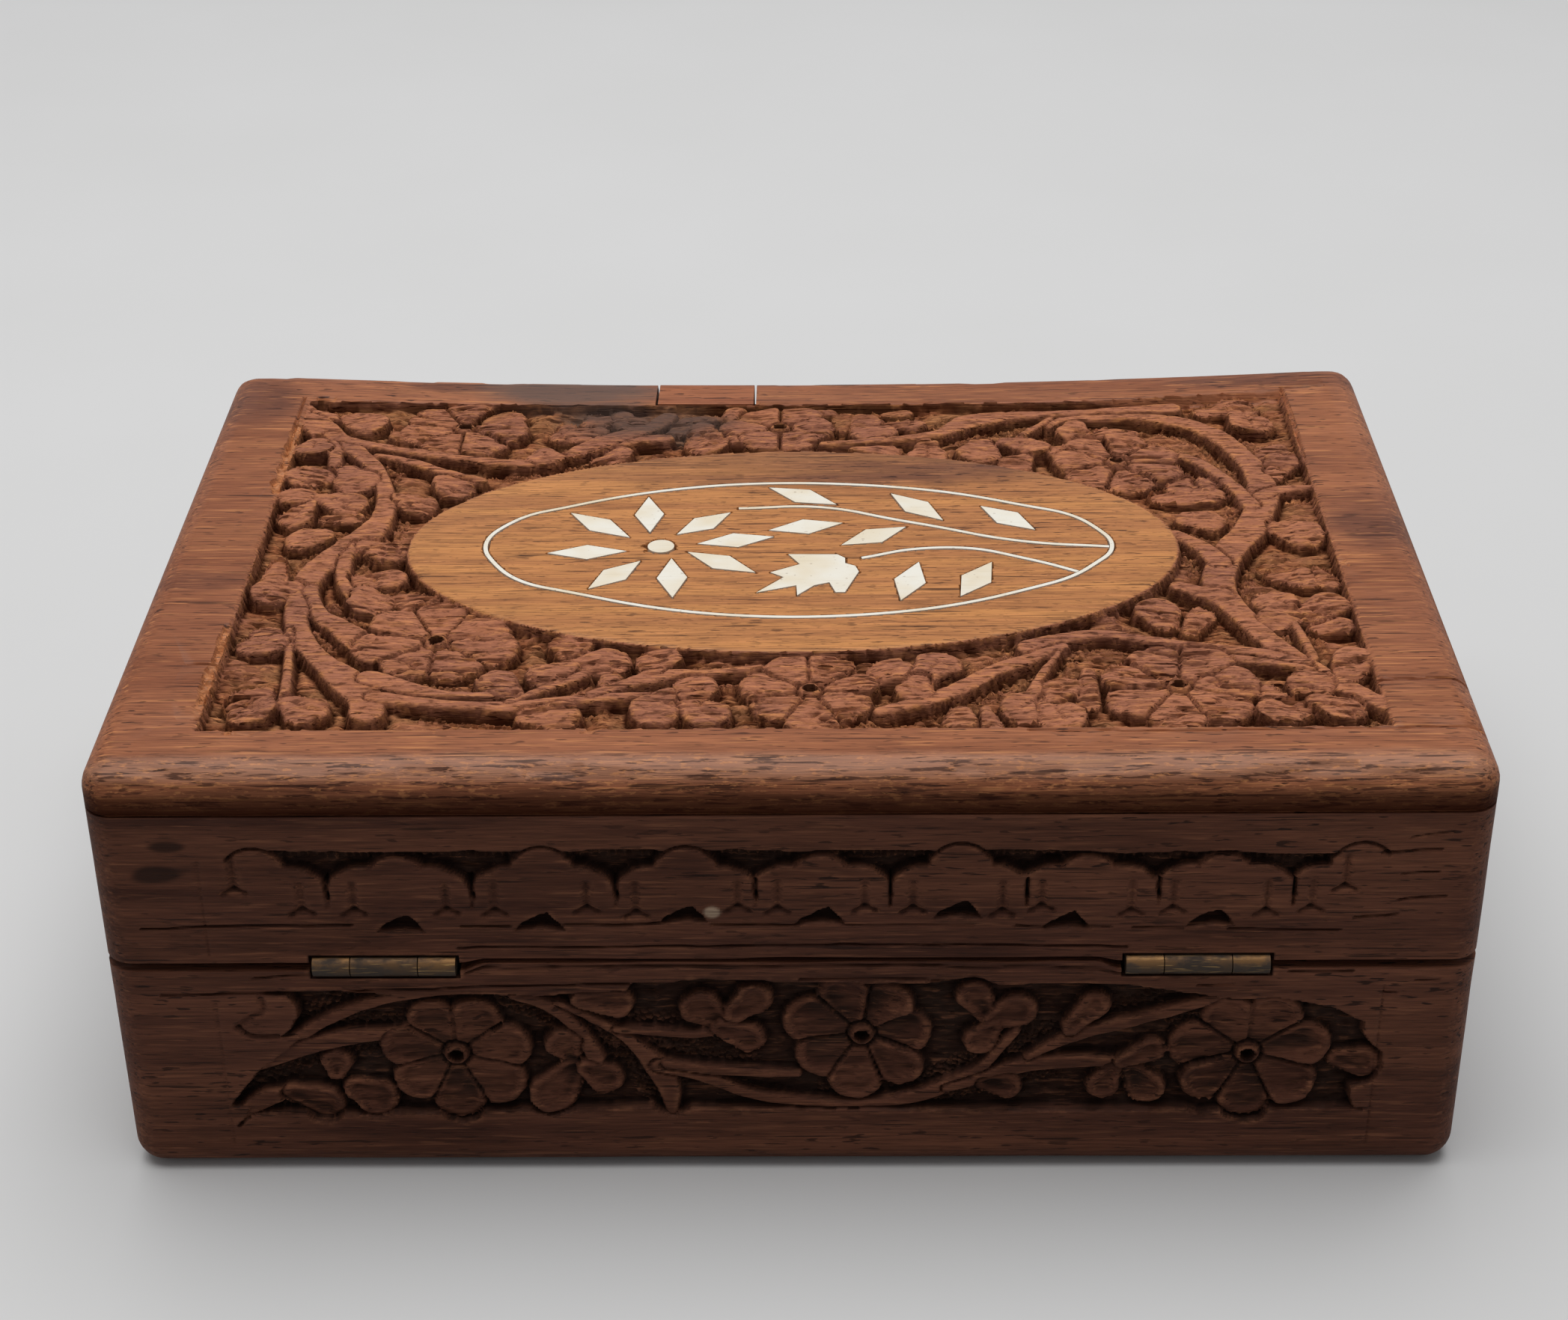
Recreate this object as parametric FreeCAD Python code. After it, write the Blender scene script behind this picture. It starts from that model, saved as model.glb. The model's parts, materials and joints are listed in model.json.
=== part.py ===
"""Hinged wooden jewelry box with a sunk lid field, an oval medallion and pale inlay.

Millimetres: +Z up, -Y the opening front, +Y the hinge side, origin at the centre of the underside.
The base is four lapped walls round a rebated bottom board. The lid is four lapped walls under a top board
that is cut back round an oval medallion, and the medallion holds pale inlay set flush in shallow pockets.
Two brass butt hinges lie in the gap between the rims, with their barrels let into the back edges.
"""
import FreeCAD, Part
import math
import os

from FreeCAD import Vector

# Overall box
box_width = 152.0
box_depth = 102.0
base_height = 28.4
back_gap = 1.2
front_gap = 0.1
lid_wall_height = 19.2
board_thickness = 5.8

# Walls, their lapped corners and their eased edges
wall = 9.0
corner_lap = 4.5
edge_radius = 3.4
seam_ease = 0.4

# Bottom board in its rebate
bottom_thickness = 4.0
rebate = 3.0
panel_clearance = 0.1

# Sunk field of the lid and the oval medallion that stands in it
field_border_side = 10.8
field_border_front = 9.5
field_border_back = 8.5
field_depth = 2.2
medallion_half_length = 46.5
medallion_half_width = 25.5
medallion_x = -0.2
medallion_y = 0.5

# Block let into the front rim of the lid
rim_block_x = 11.65
rim_block_width = 12.8
rim_block_gap = 0.5

# Inlay, all set to one depth with a glue line round each piece
inlay_depth = 0.8
glue_line = 0.1
line_width = 0.5
flower_eye = (15.7, 0.8)
flower_eye_radius = 1.6
petal_half_width = 1.8
petal_tips = [
    ((17.2, -2.8), (17.8, -12.2)),
    ((13.9, -2.2), (7.5, -7.9)),
    ((11.3, 0.2), (2.1, -1.5)),
    ((12.4, 2.3), (4.2, 7.5)),
    ((14.3, 3.9), (13.8, 13.5)),
    ((18.0, 4.5), (23.8, 11.3)),
    ((19.8, 2.0), (29.3, 2.4)),
    ((19.6, -1.5), (27.2, -8.0)),
]
leaf_half_width = 1.9
leaf_tips = [
    ((2.8, -14.6), (-5.6, -9.9)),
    ((-12.4, -12.8), (-18.6, -5.6)),
    ((-23.4, -9.3), (-29.7, -3.0)),
    ((2.7, -3.2), (-6.3, -5.0)),
    ((-6.1, 0.7), (-14.0, -3.9)),
    ((-12.9, 14.4), (-15.3, 5.1)),
    ((-19.9, 13.5), (-24.0, 5.2)),
]
bud_outline = [
    (0.3, 3.0), (-5.6, 3.1), (-6.5, 4.0), (-6.5, 5.3), (-7.7, 6.0), (-8.1, 7.4), (-7.3, 9.7), (-6.4, 12.4),
    (-5.3, 12.4), (-4.6, 10.0), (-2.8, 10.7), (-0.8, 13.1), (-0.7, 10.7), (4.0, 12.4), (0.8, 8.7), (2.4, 7.5),
    (-1.1, 5.5),
]
upper_stem = [(6.5, -9.0), (-3.0, -9.3), (-14.7, -5.1), (-28.3, 0.0), (-39.8, 1.6)]
lower_stem = [(-8.5, 4.0), (-15.0, 1.8), (-21.0, 1.6), (-28.9, 4.7), (-36.2, 8.9)]
oval_line = [
    (36.9, -0.5), (33.7, -6.2), (26.4, -10.2), (11.9, -14.8), (-4.9, -15.6), (-25.9, -10.7), (-36.4, -4.6),
    (-38.7, 1.2), (-35.4, 6.7), (-25.2, 13.1), (-2.0, 18.2), (21.9, 13.7), (34.5, 6.5),
]

# Brass butt hinges
hinge_from_end = 31.2
hinge_length = 15.8
outer_knuckle = 4.1
knuckle_gap = 0.12
knuckle_radius = 1.25
pin_radius = 0.6
pin_clearance = 0.03
leaf_width = 6.6
leaf_gap = 0.1
axis_inset = 0.42
barrel_room = 0.45
barrel_end_room = 0.6

# Countersunk screws of the hinges
screw_pitch = 9.0
screw_radius = 0.8
screw_head_radius = 1.4
screw_length = 6.0
screw_room = 0.03

# Felt lining
felt = 0.8
felt_clearance = 0.15
felt_below_rim = 1.5
lid_felt_margin = 1.5

# A length too small to matter, for comparing places
tiny = 1e-6

# Places worked out from the sizes above
half_x = box_width / 2
half_y = box_depth / 2
inner_x = half_x - wall
inner_y = half_y - wall
lid_back_z = base_height + back_gap
lid_front_z = base_height + front_gap
board_z = lid_back_z + lid_wall_height
top_z = board_z + board_thickness
field_x = half_x - field_border_side
field_front = -half_y + field_border_front
field_back = half_y - field_border_back
axis_y = half_y - axis_inset
axis_z = base_height + back_gap / 2
leaf_thickness = (back_gap - leaf_gap) / 2
hinge_places = {"left": -(half_x - hinge_from_end), "right": half_x - hinge_from_end}


def block(x0, x1, y0, y1, z0, z1):
    """A rectangular block between two opposite corners."""
    return Part.makeBox(x1 - x0, y1 - y0, z1 - z0, Vector(x0, y0, z0))


def half_turned(shape):
    """A copy turned half way round the upright axis, so a back piece becomes a front one."""
    return shape.rotated(Vector(0, 0, 0), Vector(0, 0, 1), 180)


def edges_at(shape, z):
    """The edges that lie wholly at one height, or none where there is no height."""
    if z is None:
        return []
    return [e for e in shape.Edges if abs(e.BoundBox.ZMin - z) + abs(e.BoundBox.ZMax - z) < tiny]


def rounded_block(z0, z1, rounded_z=None):
    """The box's plan between two heights, rounded at its upright corners and round one face if asked."""
    plain = block(-half_x, half_x, -half_y, half_y, z0, z1)
    upright = [e for e in plain.Edges if e.BoundBox.ZLength > (z1 - z0) / 2]
    return plain.makeFillet(edge_radius, upright + edges_at(plain, rounded_z))


def frame_walls(outer):
    """The four walls of an outer block: the long ones are rabbeted at their ends and take the short ones."""
    lap_y = inner_y + corner_lap
    z0, z1 = outer.BoundBox.ZMin, outer.BoundBox.ZMax
    long_wall = block(-half_x, half_x, inner_y, half_y, z0, z1)
    long_wall = long_wall.cut(block(inner_x, half_x, inner_y, lap_y, z0, z1))
    long_wall = long_wall.cut(block(-half_x, -inner_x, inner_y, lap_y, z0, z1))
    short_wall = block(inner_x, half_x, -lap_y, lap_y, z0, z1)
    return {
        "back": outer.common(long_wall),
        "front": outer.common(half_turned(long_wall)),
        "right": outer.common(short_wall),
        "left": outer.common(half_turned(short_wall)),
    }


def prism(points, z0):
    """An upright prism on a closed outline of straight sides, from z0 to the top of the lid."""
    corners = [Vector(x, y, z0) for x, y in points]
    return Part.Face(Part.makePolygon(corners + corners[:1])).extrude(Vector(0, 0, top_z - z0))


def oval_prism(z0):
    """The medallion's ellipse as an upright prism."""
    curve = Part.Ellipse(Vector(medallion_x, medallion_y, z0), medallion_half_length, medallion_half_width)
    return Part.Face(Part.Wire(curve.toShape())).extrude(Vector(0, 0, top_z - z0))


def round_pin(x0, x1, radius):
    """A cylinder on the hinge axis from x0 to x1."""
    return Part.makeCylinder(radius, x1 - x0, Vector(x0, axis_y, axis_z), Vector(1, 0, 0))


# Inlay pieces, each grown outwards by the amount that is asked for


def left_of(direction):
    """A direction in plan turned a quarter turn to the left."""
    return Vector(-direction.y, direction.x, 0)


def diamond(tips, half_width, grow):
    """A four-sided petal or leaf between two tips, widest in the middle."""
    start, end = (Vector(x, y, 0) for x, y in tips)
    reach = (end - start).Length / 2
    along = (end - start).normalize()
    across = left_of(along) * (half_width + grow)
    tip = along * (reach + grow * reach / half_width)
    middle = (start + end) * 0.5
    return [(p.x, p.y) for p in (middle - tip, middle + across, middle + tip, middle - across)]


def smooth_arcs(points, closed, overrun):
    """Tangent arcs through the points, two to a span, each as its start, its direction there and its end.

    A point's direction is that of the circle through it and its two neighbours.
    An open line runs on past its ends by the overrun.
    """
    places = [Vector(x, y, 0) for x, y in points]
    if closed:
        places.append(places[0])
    spans = [b - a for a, b in zip(places, places[1:])]
    pulls = [span * (1 / span.Length ** 2) for span in spans]
    outer = (pulls[-1], pulls[0]) if closed else (Vector(), Vector())
    headings = [(a + b).normalize() for a, b in zip([outer[0]] + pulls, pulls + [outer[1]])]
    if not closed:
        places[0] = places[0] - headings[0] * overrun
        places[-1] = places[-1] + headings[-1] * overrun
    arcs = []
    for i, (start, end) in enumerate(zip(places, places[1:])):
        t0, t1 = headings[i], headings[i + 1]
        span, both = end - start, t0 + t1
        bend = 2 * (1 - t0.dot(t1))
        if bend < tiny:
            reach = span.dot(span) / (4 * span.dot(t1))
        else:
            reach = (math.sqrt(span.dot(both) ** 2 + bend * span.dot(span)) - span.dot(both)) / bend
        meeting = (start + end + (t0 - t1) * reach) * 0.5
        arcs.append((start, t0, meeting))
        arcs.append((meeting, (meeting - start - t0 * reach).normalize(), end))
    return arcs


def rail(arcs, shift):
    """One side of a band: the arcs moved sideways, to their left where the shift is positive."""
    edges = []
    for start, heading, end in arcs:
        chord = (end - start).normalize()
        half_turn = math.atan2(left_of(heading).dot(chord), heading.dot(chord))
        end_heading = chord * (2 * heading.dot(chord)) - heading
        bulge = (end - start).Length / 2 * math.tan(half_turn / 2)
        first = start + left_of(heading) * shift
        middle = (start + end) * 0.5 + left_of(chord) * (shift - bulge)
        last = end + left_of(end_heading) * shift
        straight = abs(bulge) < tiny
        edges.append(Part.makeLine(first, last) if straight else Part.Arc(first, middle, last).toShape())
    return edges


def stem_piece(points, grow, z0):
    """An inlaid line from the first point to the last."""
    arcs = smooth_arcs(points, False, grow)
    half = line_width / 2 + grow
    left, right = rail(arcs, half), rail(arcs, -half)
    ends = [Part.makeLine(left[i].Vertexes[i].Point, right[i].Vertexes[i].Point) for i in (0, -1)]
    outline = Part.Wire(Part.__sortEdges__(left + right + ends))
    return Part.Face(outline).translated(Vector(0, 0, z0)).extrude(Vector(0, 0, top_z - z0))


def ring_piece(points, grow, z0):
    """An inlaid line that closes on itself."""
    arcs = smooth_arcs(points, True, 0)
    half = line_width / 2 + grow
    faces = [Part.Face(Part.Wire(Part.__sortEdges__(rail(arcs, side * half)))) for side in (1, -1)]
    faces.sort(key=lambda face: face.Area)
    ring = faces[1].cut(faces[0]).translated(Vector(0, 0, z0))
    return ring.extrude(Vector(0, 0, top_z - z0))


def stem_to_ring(points, grow, z0):
    """An inlaid line that runs into the oval line and stops a glue line short of it."""
    ring = ring_piece(oval_line, glue_line - grow, z0)
    return max(stem_piece(points, grow, z0).cut(ring).Solids, key=lambda piece: piece.Volume)


def bud_piece(grow, z0):
    """The jagged bud beside the flower."""
    face = Part.Face(Part.makePolygon([Vector(x, y, z0) for x, y in bud_outline + bud_outline[:1]]))
    if grow:
        face = face.makeOffset2D(grow, 2)
    return face.extrude(Vector(0, 0, top_z - z0))


def inlay_pieces(grow):
    """Every inlay piece by its node's name, from the pockets' floor up to the top face."""
    z0 = top_z - inlay_depth
    return {
        "inlay_oval_line": [ring_piece(oval_line, grow, z0)],
        "inlay_flower_petals": [prism(diamond(tips, petal_half_width, grow), z0) for tips in petal_tips],
        "inlay_flower_eye": [Part.makeCylinder(flower_eye_radius + grow, top_z - z0, Vector(*flower_eye, z0))],
        "inlay_leaves": [prism(diamond(tips, leaf_half_width, grow), z0) for tips in leaf_tips],
        "inlay_bud": [bud_piece(grow, z0)],
        "inlay_upper_stem": [stem_to_ring(upper_stem, grow, z0)],
        "inlay_lower_stem": [stem_to_ring(lower_stem, grow, z0)],
    }


# Hinge pieces, made for a hinge centred on x


def screw_body(x, y, face_z, away, grow):
    """A countersunk screw with its head in a leaf's thickness, running up where away is 1 and down at -1."""
    profile = [
        (0, 0),
        (screw_head_radius + grow, 0),
        (screw_radius + grow, leaf_thickness),
        (screw_radius + grow, screw_length + grow),
        (0, screw_length + grow),
    ]
    points = [Vector(x + r, y, face_z + away * d) for r, d in profile]
    half_section = Part.Face(Part.makePolygon(points + points[:1]))
    return half_section.revolve(Vector(x, y, face_z), Vector(0, 0, 1), 360)


def screw_places(x):
    """The two screws of one leaf, half way between the barrel and the leaf's far edge."""
    y = axis_y - (knuckle_radius + leaf_width) / 2
    return [(x - screw_pitch / 2, y), (x + screw_pitch / 2, y)]


def hinge_leaf(x, on_lid):
    """A drilled plate in the gap between the rims, with its own knuckles on its back edge.

    The base leaf carries the two outer knuckles and the lid leaf the middle one.
    """
    x0, x1 = x - hinge_length / 2, x + hinge_length / 2
    outer = [(x0, x0 + outer_knuckle), (x1 - outer_knuckle, x1)]
    middle = [(outer[0][1] + knuckle_gap, outer[1][0] - knuckle_gap)]
    own, other = (middle, outer) if on_lid else (outer, middle)
    away = 1 if on_lid else -1
    wood_z = lid_back_z if on_lid else base_height
    face_z = wood_z - away * leaf_thickness
    z0, z1 = sorted((wood_z, face_z))
    leaf = block(x0, x1, axis_y - leaf_width, axis_y, z0, z1)
    clear = knuckle_radius + knuckle_gap
    for a, b in other:
        leaf = leaf.cut(block(a - knuckle_gap, b + knuckle_gap, axis_y - clear, axis_y + clear, z0, z1))
    for a, b in own:
        leaf = leaf.fuse(round_pin(a, b, knuckle_radius))
    leaf = leaf.cut(round_pin(x0, x1, pin_radius + pin_clearance))
    for sx, sy in screw_places(x):
        leaf = leaf.cut(screw_body(sx, sy, face_z, away, screw_room))
    return leaf.removeSplitter()


def barrel_notch(x):
    """The room that a hinge's barrel needs in the back edges of both rims."""
    reach = knuckle_radius + barrel_room
    half = hinge_length / 2 + barrel_end_room
    return block(x - half, x + half, axis_y - reach, half_y + reach, axis_z - reach, axis_z + reach)


nodes = {}

# Base walls and the bottom board in their rebate

base_outer = rounded_block(0, base_height, rounded_z=0)
seat_x, seat_y = inner_x + rebate, inner_y + rebate
bottom_seat = block(-seat_x, seat_x, -seat_y, seat_y, 0, bottom_thickness)
base_walls = {side: shape.cut(bottom_seat) for side, shape in frame_walls(base_outer).items()}
panel_x, panel_y = seat_x - panel_clearance, seat_y - panel_clearance
nodes["bottom_board"] = block(-panel_x, panel_x, -panel_y, panel_y, 0, bottom_thickness)

# Lid walls: the back one ends above the hinge leaves, the front one nearly meets the base

slope = [(-half_y, lid_front_z), (-inner_y, lid_front_z), (inner_y, lid_back_z), (half_y, lid_back_z)]
below = [Vector(-half_x, y, z) for y, z in slope]
below += [Vector(-half_x, half_y, 0), Vector(-half_x, -half_y, 0)]
rim_cut = Part.Face(Part.makePolygon(below + below[:1])).extrude(Vector(box_width, 0, 0))
lid_outer = rounded_block(base_height, board_z)
lid_walls = {side: shape.cut(rim_cut) for side, shape in frame_walls(lid_outer).items()}

# Top board: eased edges, the sunk field round the medallion, the notch for the rim block, the inlay pockets

board = rounded_block(board_z, top_z, rounded_z=top_z)
board = board.makeChamfer(seam_ease, edges_at(board, board_z))
field = block(-field_x, field_x, field_front, field_back, top_z - field_depth, top_z)
field = field.cut(oval_prism(top_z - field_depth))
half_block = rim_block_width / 2
half_notch = half_block + rim_block_gap
notch = block(rim_block_x - half_notch, rim_block_x + half_notch, -half_y, field_front, board_z, top_z)
insert = block(rim_block_x - half_block, rim_block_x + half_block, -half_y, field_front, board_z, top_z)
nodes["front_rim_block"] = board.common(insert)
top_board = board.cut(field).cut(notch)
for pockets in inlay_pieces(glue_line).values():
    top_board = top_board.cut(pockets)
nodes["lid_top_board"] = top_board
for name, pieces in inlay_pieces(0).items():
    nodes[name] = Part.makeCompound(pieces)

# Hinges, their screws and the room that both need in the back walls

base_screws, lid_screws = [], []
base_face_z = base_height + leaf_thickness
lid_face_z = lid_back_z - leaf_thickness
for side, x in hinge_places.items():
    nodes[f"{side}_hinge_base_leaf"] = hinge_leaf(x, on_lid=False)
    nodes[f"{side}_hinge_lid_leaf"] = hinge_leaf(x, on_lid=True)
    nodes[f"{side}_hinge_pin"] = round_pin(x - hinge_length / 2, x + hinge_length / 2, pin_radius)
    base_walls["back"] = base_walls["back"].cut(barrel_notch(x))
    lid_walls["back"] = lid_walls["back"].cut(barrel_notch(x))
    for sx, sy in screw_places(x):
        base_screws.append(screw_body(sx, sy, base_face_z, -1, 0))
        lid_screws.append(screw_body(sx, sy, lid_face_z, 1, 0))
        base_walls["back"] = base_walls["back"].cut(screw_body(sx, sy, base_face_z, -1, screw_room))
        lid_walls["back"] = lid_walls["back"].cut(screw_body(sx, sy, lid_face_z, 1, screw_room))
nodes["hinge_base_screws"] = Part.makeCompound(base_screws)
nodes["hinge_lid_screws"] = Part.makeCompound(lid_screws)
for side in ("front", "back", "left", "right"):
    nodes[f"base_{side}_wall"] = base_walls[side]
    nodes[f"lid_{side}_wall"] = lid_walls[side]

# Felt: a floor sheet, four wall strips that stand on it, and a panel under the top board

floor_x, floor_y = inner_x - felt_clearance, inner_y - felt_clearance
floor_top = bottom_thickness + felt
strip_top = base_height - felt_below_rim
strip_y = inner_y - felt - felt_clearance
nodes["floor_lining"] = block(-floor_x, floor_x, -floor_y, floor_y, bottom_thickness, floor_top)
nodes["back_lining"] = block(-floor_x, floor_x, inner_y - felt, inner_y, floor_top, strip_top)
nodes["front_lining"] = half_turned(nodes["back_lining"])
nodes["right_lining"] = block(inner_x - felt, inner_x, -strip_y, strip_y, floor_top, strip_top)
nodes["left_lining"] = half_turned(nodes["right_lining"])
lid_felt_x, lid_felt_y = inner_x - lid_felt_margin, inner_y - lid_felt_margin
nodes["lid_lining"] = block(-lid_felt_x, lid_felt_x, -lid_felt_y, lid_felt_y, board_z - felt, board_z)

os.makedirs("parts", exist_ok=True)
for name, shape in sorted(nodes.items()):
    solids = shape.Solids
    shape = solids[0] if len(solids) == 1 else Part.makeCompound(solids)
    shape.exportStep(f"parts/{name}.step")
    print(f"{name}: {len(solids)} solid(s), {shape.Volume:.1f} mm3, valid {shape.isValid()}")
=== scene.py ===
# %% [markdown]
# # A carved wooden jewelry box
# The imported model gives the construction: walls, boards, hinges and inlay at their real sizes. This lesson
# gives it its looks. The carved boards are worked out as height maps, the way a carver sees them: a flat
# face, a sunk ground and the flowers, leaves and stems that are left standing. Everything is measured in
# millimetres until a mesh is made.

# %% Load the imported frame
import json
import math

import bmesh
import bpy
import numpy as np
from mathutils import Matrix, Vector

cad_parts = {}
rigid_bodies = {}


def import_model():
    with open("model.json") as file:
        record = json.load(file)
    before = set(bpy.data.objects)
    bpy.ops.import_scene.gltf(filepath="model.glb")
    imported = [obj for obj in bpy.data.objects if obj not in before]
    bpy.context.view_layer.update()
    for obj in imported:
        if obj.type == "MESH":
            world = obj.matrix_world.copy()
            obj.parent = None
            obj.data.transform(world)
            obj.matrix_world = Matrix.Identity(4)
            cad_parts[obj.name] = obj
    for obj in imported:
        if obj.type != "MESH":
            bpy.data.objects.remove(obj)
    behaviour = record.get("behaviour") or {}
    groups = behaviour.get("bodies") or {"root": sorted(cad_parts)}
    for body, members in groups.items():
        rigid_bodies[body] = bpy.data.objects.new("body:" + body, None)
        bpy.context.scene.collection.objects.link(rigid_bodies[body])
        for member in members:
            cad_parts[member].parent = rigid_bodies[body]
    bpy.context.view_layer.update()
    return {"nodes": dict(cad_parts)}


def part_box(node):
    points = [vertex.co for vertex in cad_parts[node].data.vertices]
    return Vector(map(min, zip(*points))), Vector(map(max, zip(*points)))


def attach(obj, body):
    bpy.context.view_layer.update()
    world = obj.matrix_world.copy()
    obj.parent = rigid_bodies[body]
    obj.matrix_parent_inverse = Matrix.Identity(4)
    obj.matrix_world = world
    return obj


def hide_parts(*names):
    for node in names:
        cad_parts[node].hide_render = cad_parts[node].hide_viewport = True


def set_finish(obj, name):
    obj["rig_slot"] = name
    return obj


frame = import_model()
MM = 0.001

# %% [markdown]
# ## Sizes
# The outside sizes are read from the frame, so that every new piece goes exactly where its solid is. Only
# roundings and small gaps, which a bounding box cannot tell, are written here again.

# %% Sizes of the boards
EDGE_RADIUS = 3.4
SEAM_EASE = 0.4
MERGE_DISTANCE = 1e-7


def box_mm(node):
    """The lowest and highest corner of a node, in millimetres."""
    return [np.array(corner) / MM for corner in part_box(node)]


board_low, board_high = box_mm("lid_top_board")
HALF_X, HALF_Y, TOP_Z = board_high
BOARD_Z = board_low[2]
side_low, side_high = box_mm("base_right_wall")
INNER_X, LAP_Y = side_low[0], side_high[1]
BASE_TOP = side_high[2]
INNER_Y = box_mm("base_back_wall")[0][1]
LID_BACK_Z = box_mm("lid_back_wall")[0][2]
LID_FRONT_Z = box_mm("lid_front_wall")[0][2]
BOTTOM_TOP = box_mm("bottom_board")[1][2]
print("half width", HALF_X, "half depth", HALF_Y, "top", TOP_Z, "lid rim", LID_FRONT_Z, LID_BACK_Z)

# %% [markdown]
# ## From numbers to a mesh
# A board is one dense sheet of points for the face that is carved, closed by flat plates for the faces that
# are only sawn. A shell gathers both, and the points that sheet and plates share are merged at the end.


# %% Shells
class Shell:
    """Points and faces of one piece, in millimetres, with values such as wear kept at each point."""

    def __init__(self):
        self.points, self.faces, self.values, self.count = [], [], {}, 0

    def add_points(self, points, values=None):
        """Adds points and returns their numbers."""
        points = np.asarray(points, float).reshape(-1, 3)
        first, self.count = self.count, self.count + len(points)
        self.points.append(points)
        for name, value in (values or {}).items():
            self.values.setdefault(name, []).append((first, np.asarray(value, float).ravel()))
        return np.arange(first, self.count)

    def sheet(self, grid, values=None, closed=False):
        """Adds a grid of points (rows, columns, 3) and the four-sided faces between neighbours."""
        rows, columns = grid.shape[:2]
        number = self.add_points(grid, values).reshape(rows, columns)
        if closed:
            number = np.concatenate([number, number[:, :1]], axis=1)
        corners = number[:-1, :-1], number[:-1, 1:], number[1:, 1:], number[1:, :-1]
        self.faces += np.stack(corners, axis=-1).reshape(-1, 4).tolist()
        return number

    def plate(self, corners):
        """Adds one flat face with these corners."""
        self.faces.append(self.add_points(corners).tolist())

    def mesh(self, name):
        """The mesh in metres, with shared points merged and every face turned outwards."""
        points = np.concatenate(self.points) * MM
        mesh = bpy.data.meshes.new(name)
        mesh.from_pydata(points, [], self.faces)
        for title, parts in self.values.items():
            whole = np.zeros(self.count, np.float32)
            for first, part in parts:
                whole[first:first + len(part)] = part
            mesh.attributes.new(title, "FLOAT", "POINT").data.foreach_set("value", whole)
        work = bmesh.new()
        work.from_mesh(mesh)
        bmesh.ops.remove_doubles(work, verts=work.verts, dist=MERGE_DISTANCE)
        bmesh.ops.dissolve_degenerate(work, edges=work.edges, dist=MERGE_DISTANCE)
        bmesh.ops.recalc_face_normals(work, faces=work.faces)
        work.to_mesh(mesh)
        work.free()
        return mesh


print("points closer than", MERGE_DISTANCE, "m are merged")

# %% Pieces
CRISP_ANGLE = math.radians(42)


def make_piece(name, shell, body, slot, replaced, most_triangles=None):
    """Turns a shell into an object that rides on a body and stands for CAD nodes.

    Where a limit is given, the flattest triangles are collapsed until the rest are fewer than that.
    """
    mesh = shell.mesh(name)
    piece = bpy.data.objects.new(name, mesh)
    bpy.context.scene.collection.objects.link(piece)
    mesh.calc_loop_triangles()
    triangles = len(mesh.loop_triangles)
    if most_triangles and triangles > most_triangles:
        thin = piece.modifiers.new("thin", "DECIMATE")
        thin.ratio = most_triangles / triangles
        graph = bpy.context.evaluated_depsgraph_get()
        piece.data = bpy.data.meshes.new_from_object(piece.evaluated_get(graph))
        piece.modifiers.clear()
        bpy.data.meshes.remove(mesh)
        piece.data.name = name
    piece.data.polygons.foreach_set("use_smooth", np.ones(len(piece.data.polygons), bool))
    piece.data.set_sharp_from_angle(angle=CRISP_ANGLE)
    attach(piece, body)
    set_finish(piece, slot)
    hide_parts(*replaced)
    piece.data.calc_loop_triangles()
    print(name, "from", triangles, "to", len(piece.data.loop_triangles), "triangles")
    return piece


print("edges sharper than", round(math.degrees(CRISP_ANGLE)), "degrees stay crisp")

# %% [markdown]
# ## Carving tools
# A relief holds the height of a face over a grid, 0 where the wood is uncut. Every motif is a chain of
# circles that grow or shrink along a line, which gives petals, leaves, buds and stems from one distance
# formula. A motif is set in by cutting a steep trench round its outline and then shaping its own top, as a
# carver does with a gouge.

# %% Distances and hand-made unevenness
LATTICE = 256


def uneven(u, v, cell_u, cell_v, seed):
    """Smooth random values from -1 to 1: random numbers on a lattice of cells, eased into each other."""
    lattice = np.random.default_rng(seed).uniform(-1, 1, (LATTICE, LATTICE))
    column, row = np.floor(u / cell_u), np.floor(v / cell_v)
    s, t = u / cell_u - column, v / cell_v - row
    s, t = s * s * (3 - 2 * s), t * t * (3 - 2 * t)
    i, j = column.astype(int) % LATTICE, row.astype(int) % LATTICE
    i2, j2 = (i + 1) % LATTICE, (j + 1) % LATTICE
    low = lattice[j, i] * (1 - s) + lattice[j, i2] * s
    high = lattice[j2, i] * (1 - s) + lattice[j2, i2] * s
    return low * (1 - t) + high * t


def waves(u, v, layers, seed):
    """A sum of unevennesses, each with its weight, its cell across and up, and what is added to the seed."""
    return sum(weight * uneven(u, v, across, up, seed + more) for weight, across, up, more in layers)


def ease(x):
    """0 below 0, 1 above 1 and an S-curve between."""
    x = np.clip(x, 0, 1)
    return x * x * (3 - 2 * x)


def inside_taper(u, v, a, radius_a, b, radius_b):
    """How far a place lies inside a bar with round ends whose radius changes evenly from a to b."""
    du, dv = b[0] - a[0], b[1] - a[1]
    share = np.clip(((u - a[0]) * du + (v - a[1]) * dv) / (du * du + dv * dv), 0, 1)
    gap = np.hypot(u - a[0] - share * du, v - a[1] - share * dv)
    return radius_a + (radius_b - radius_a) * share - gap


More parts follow.
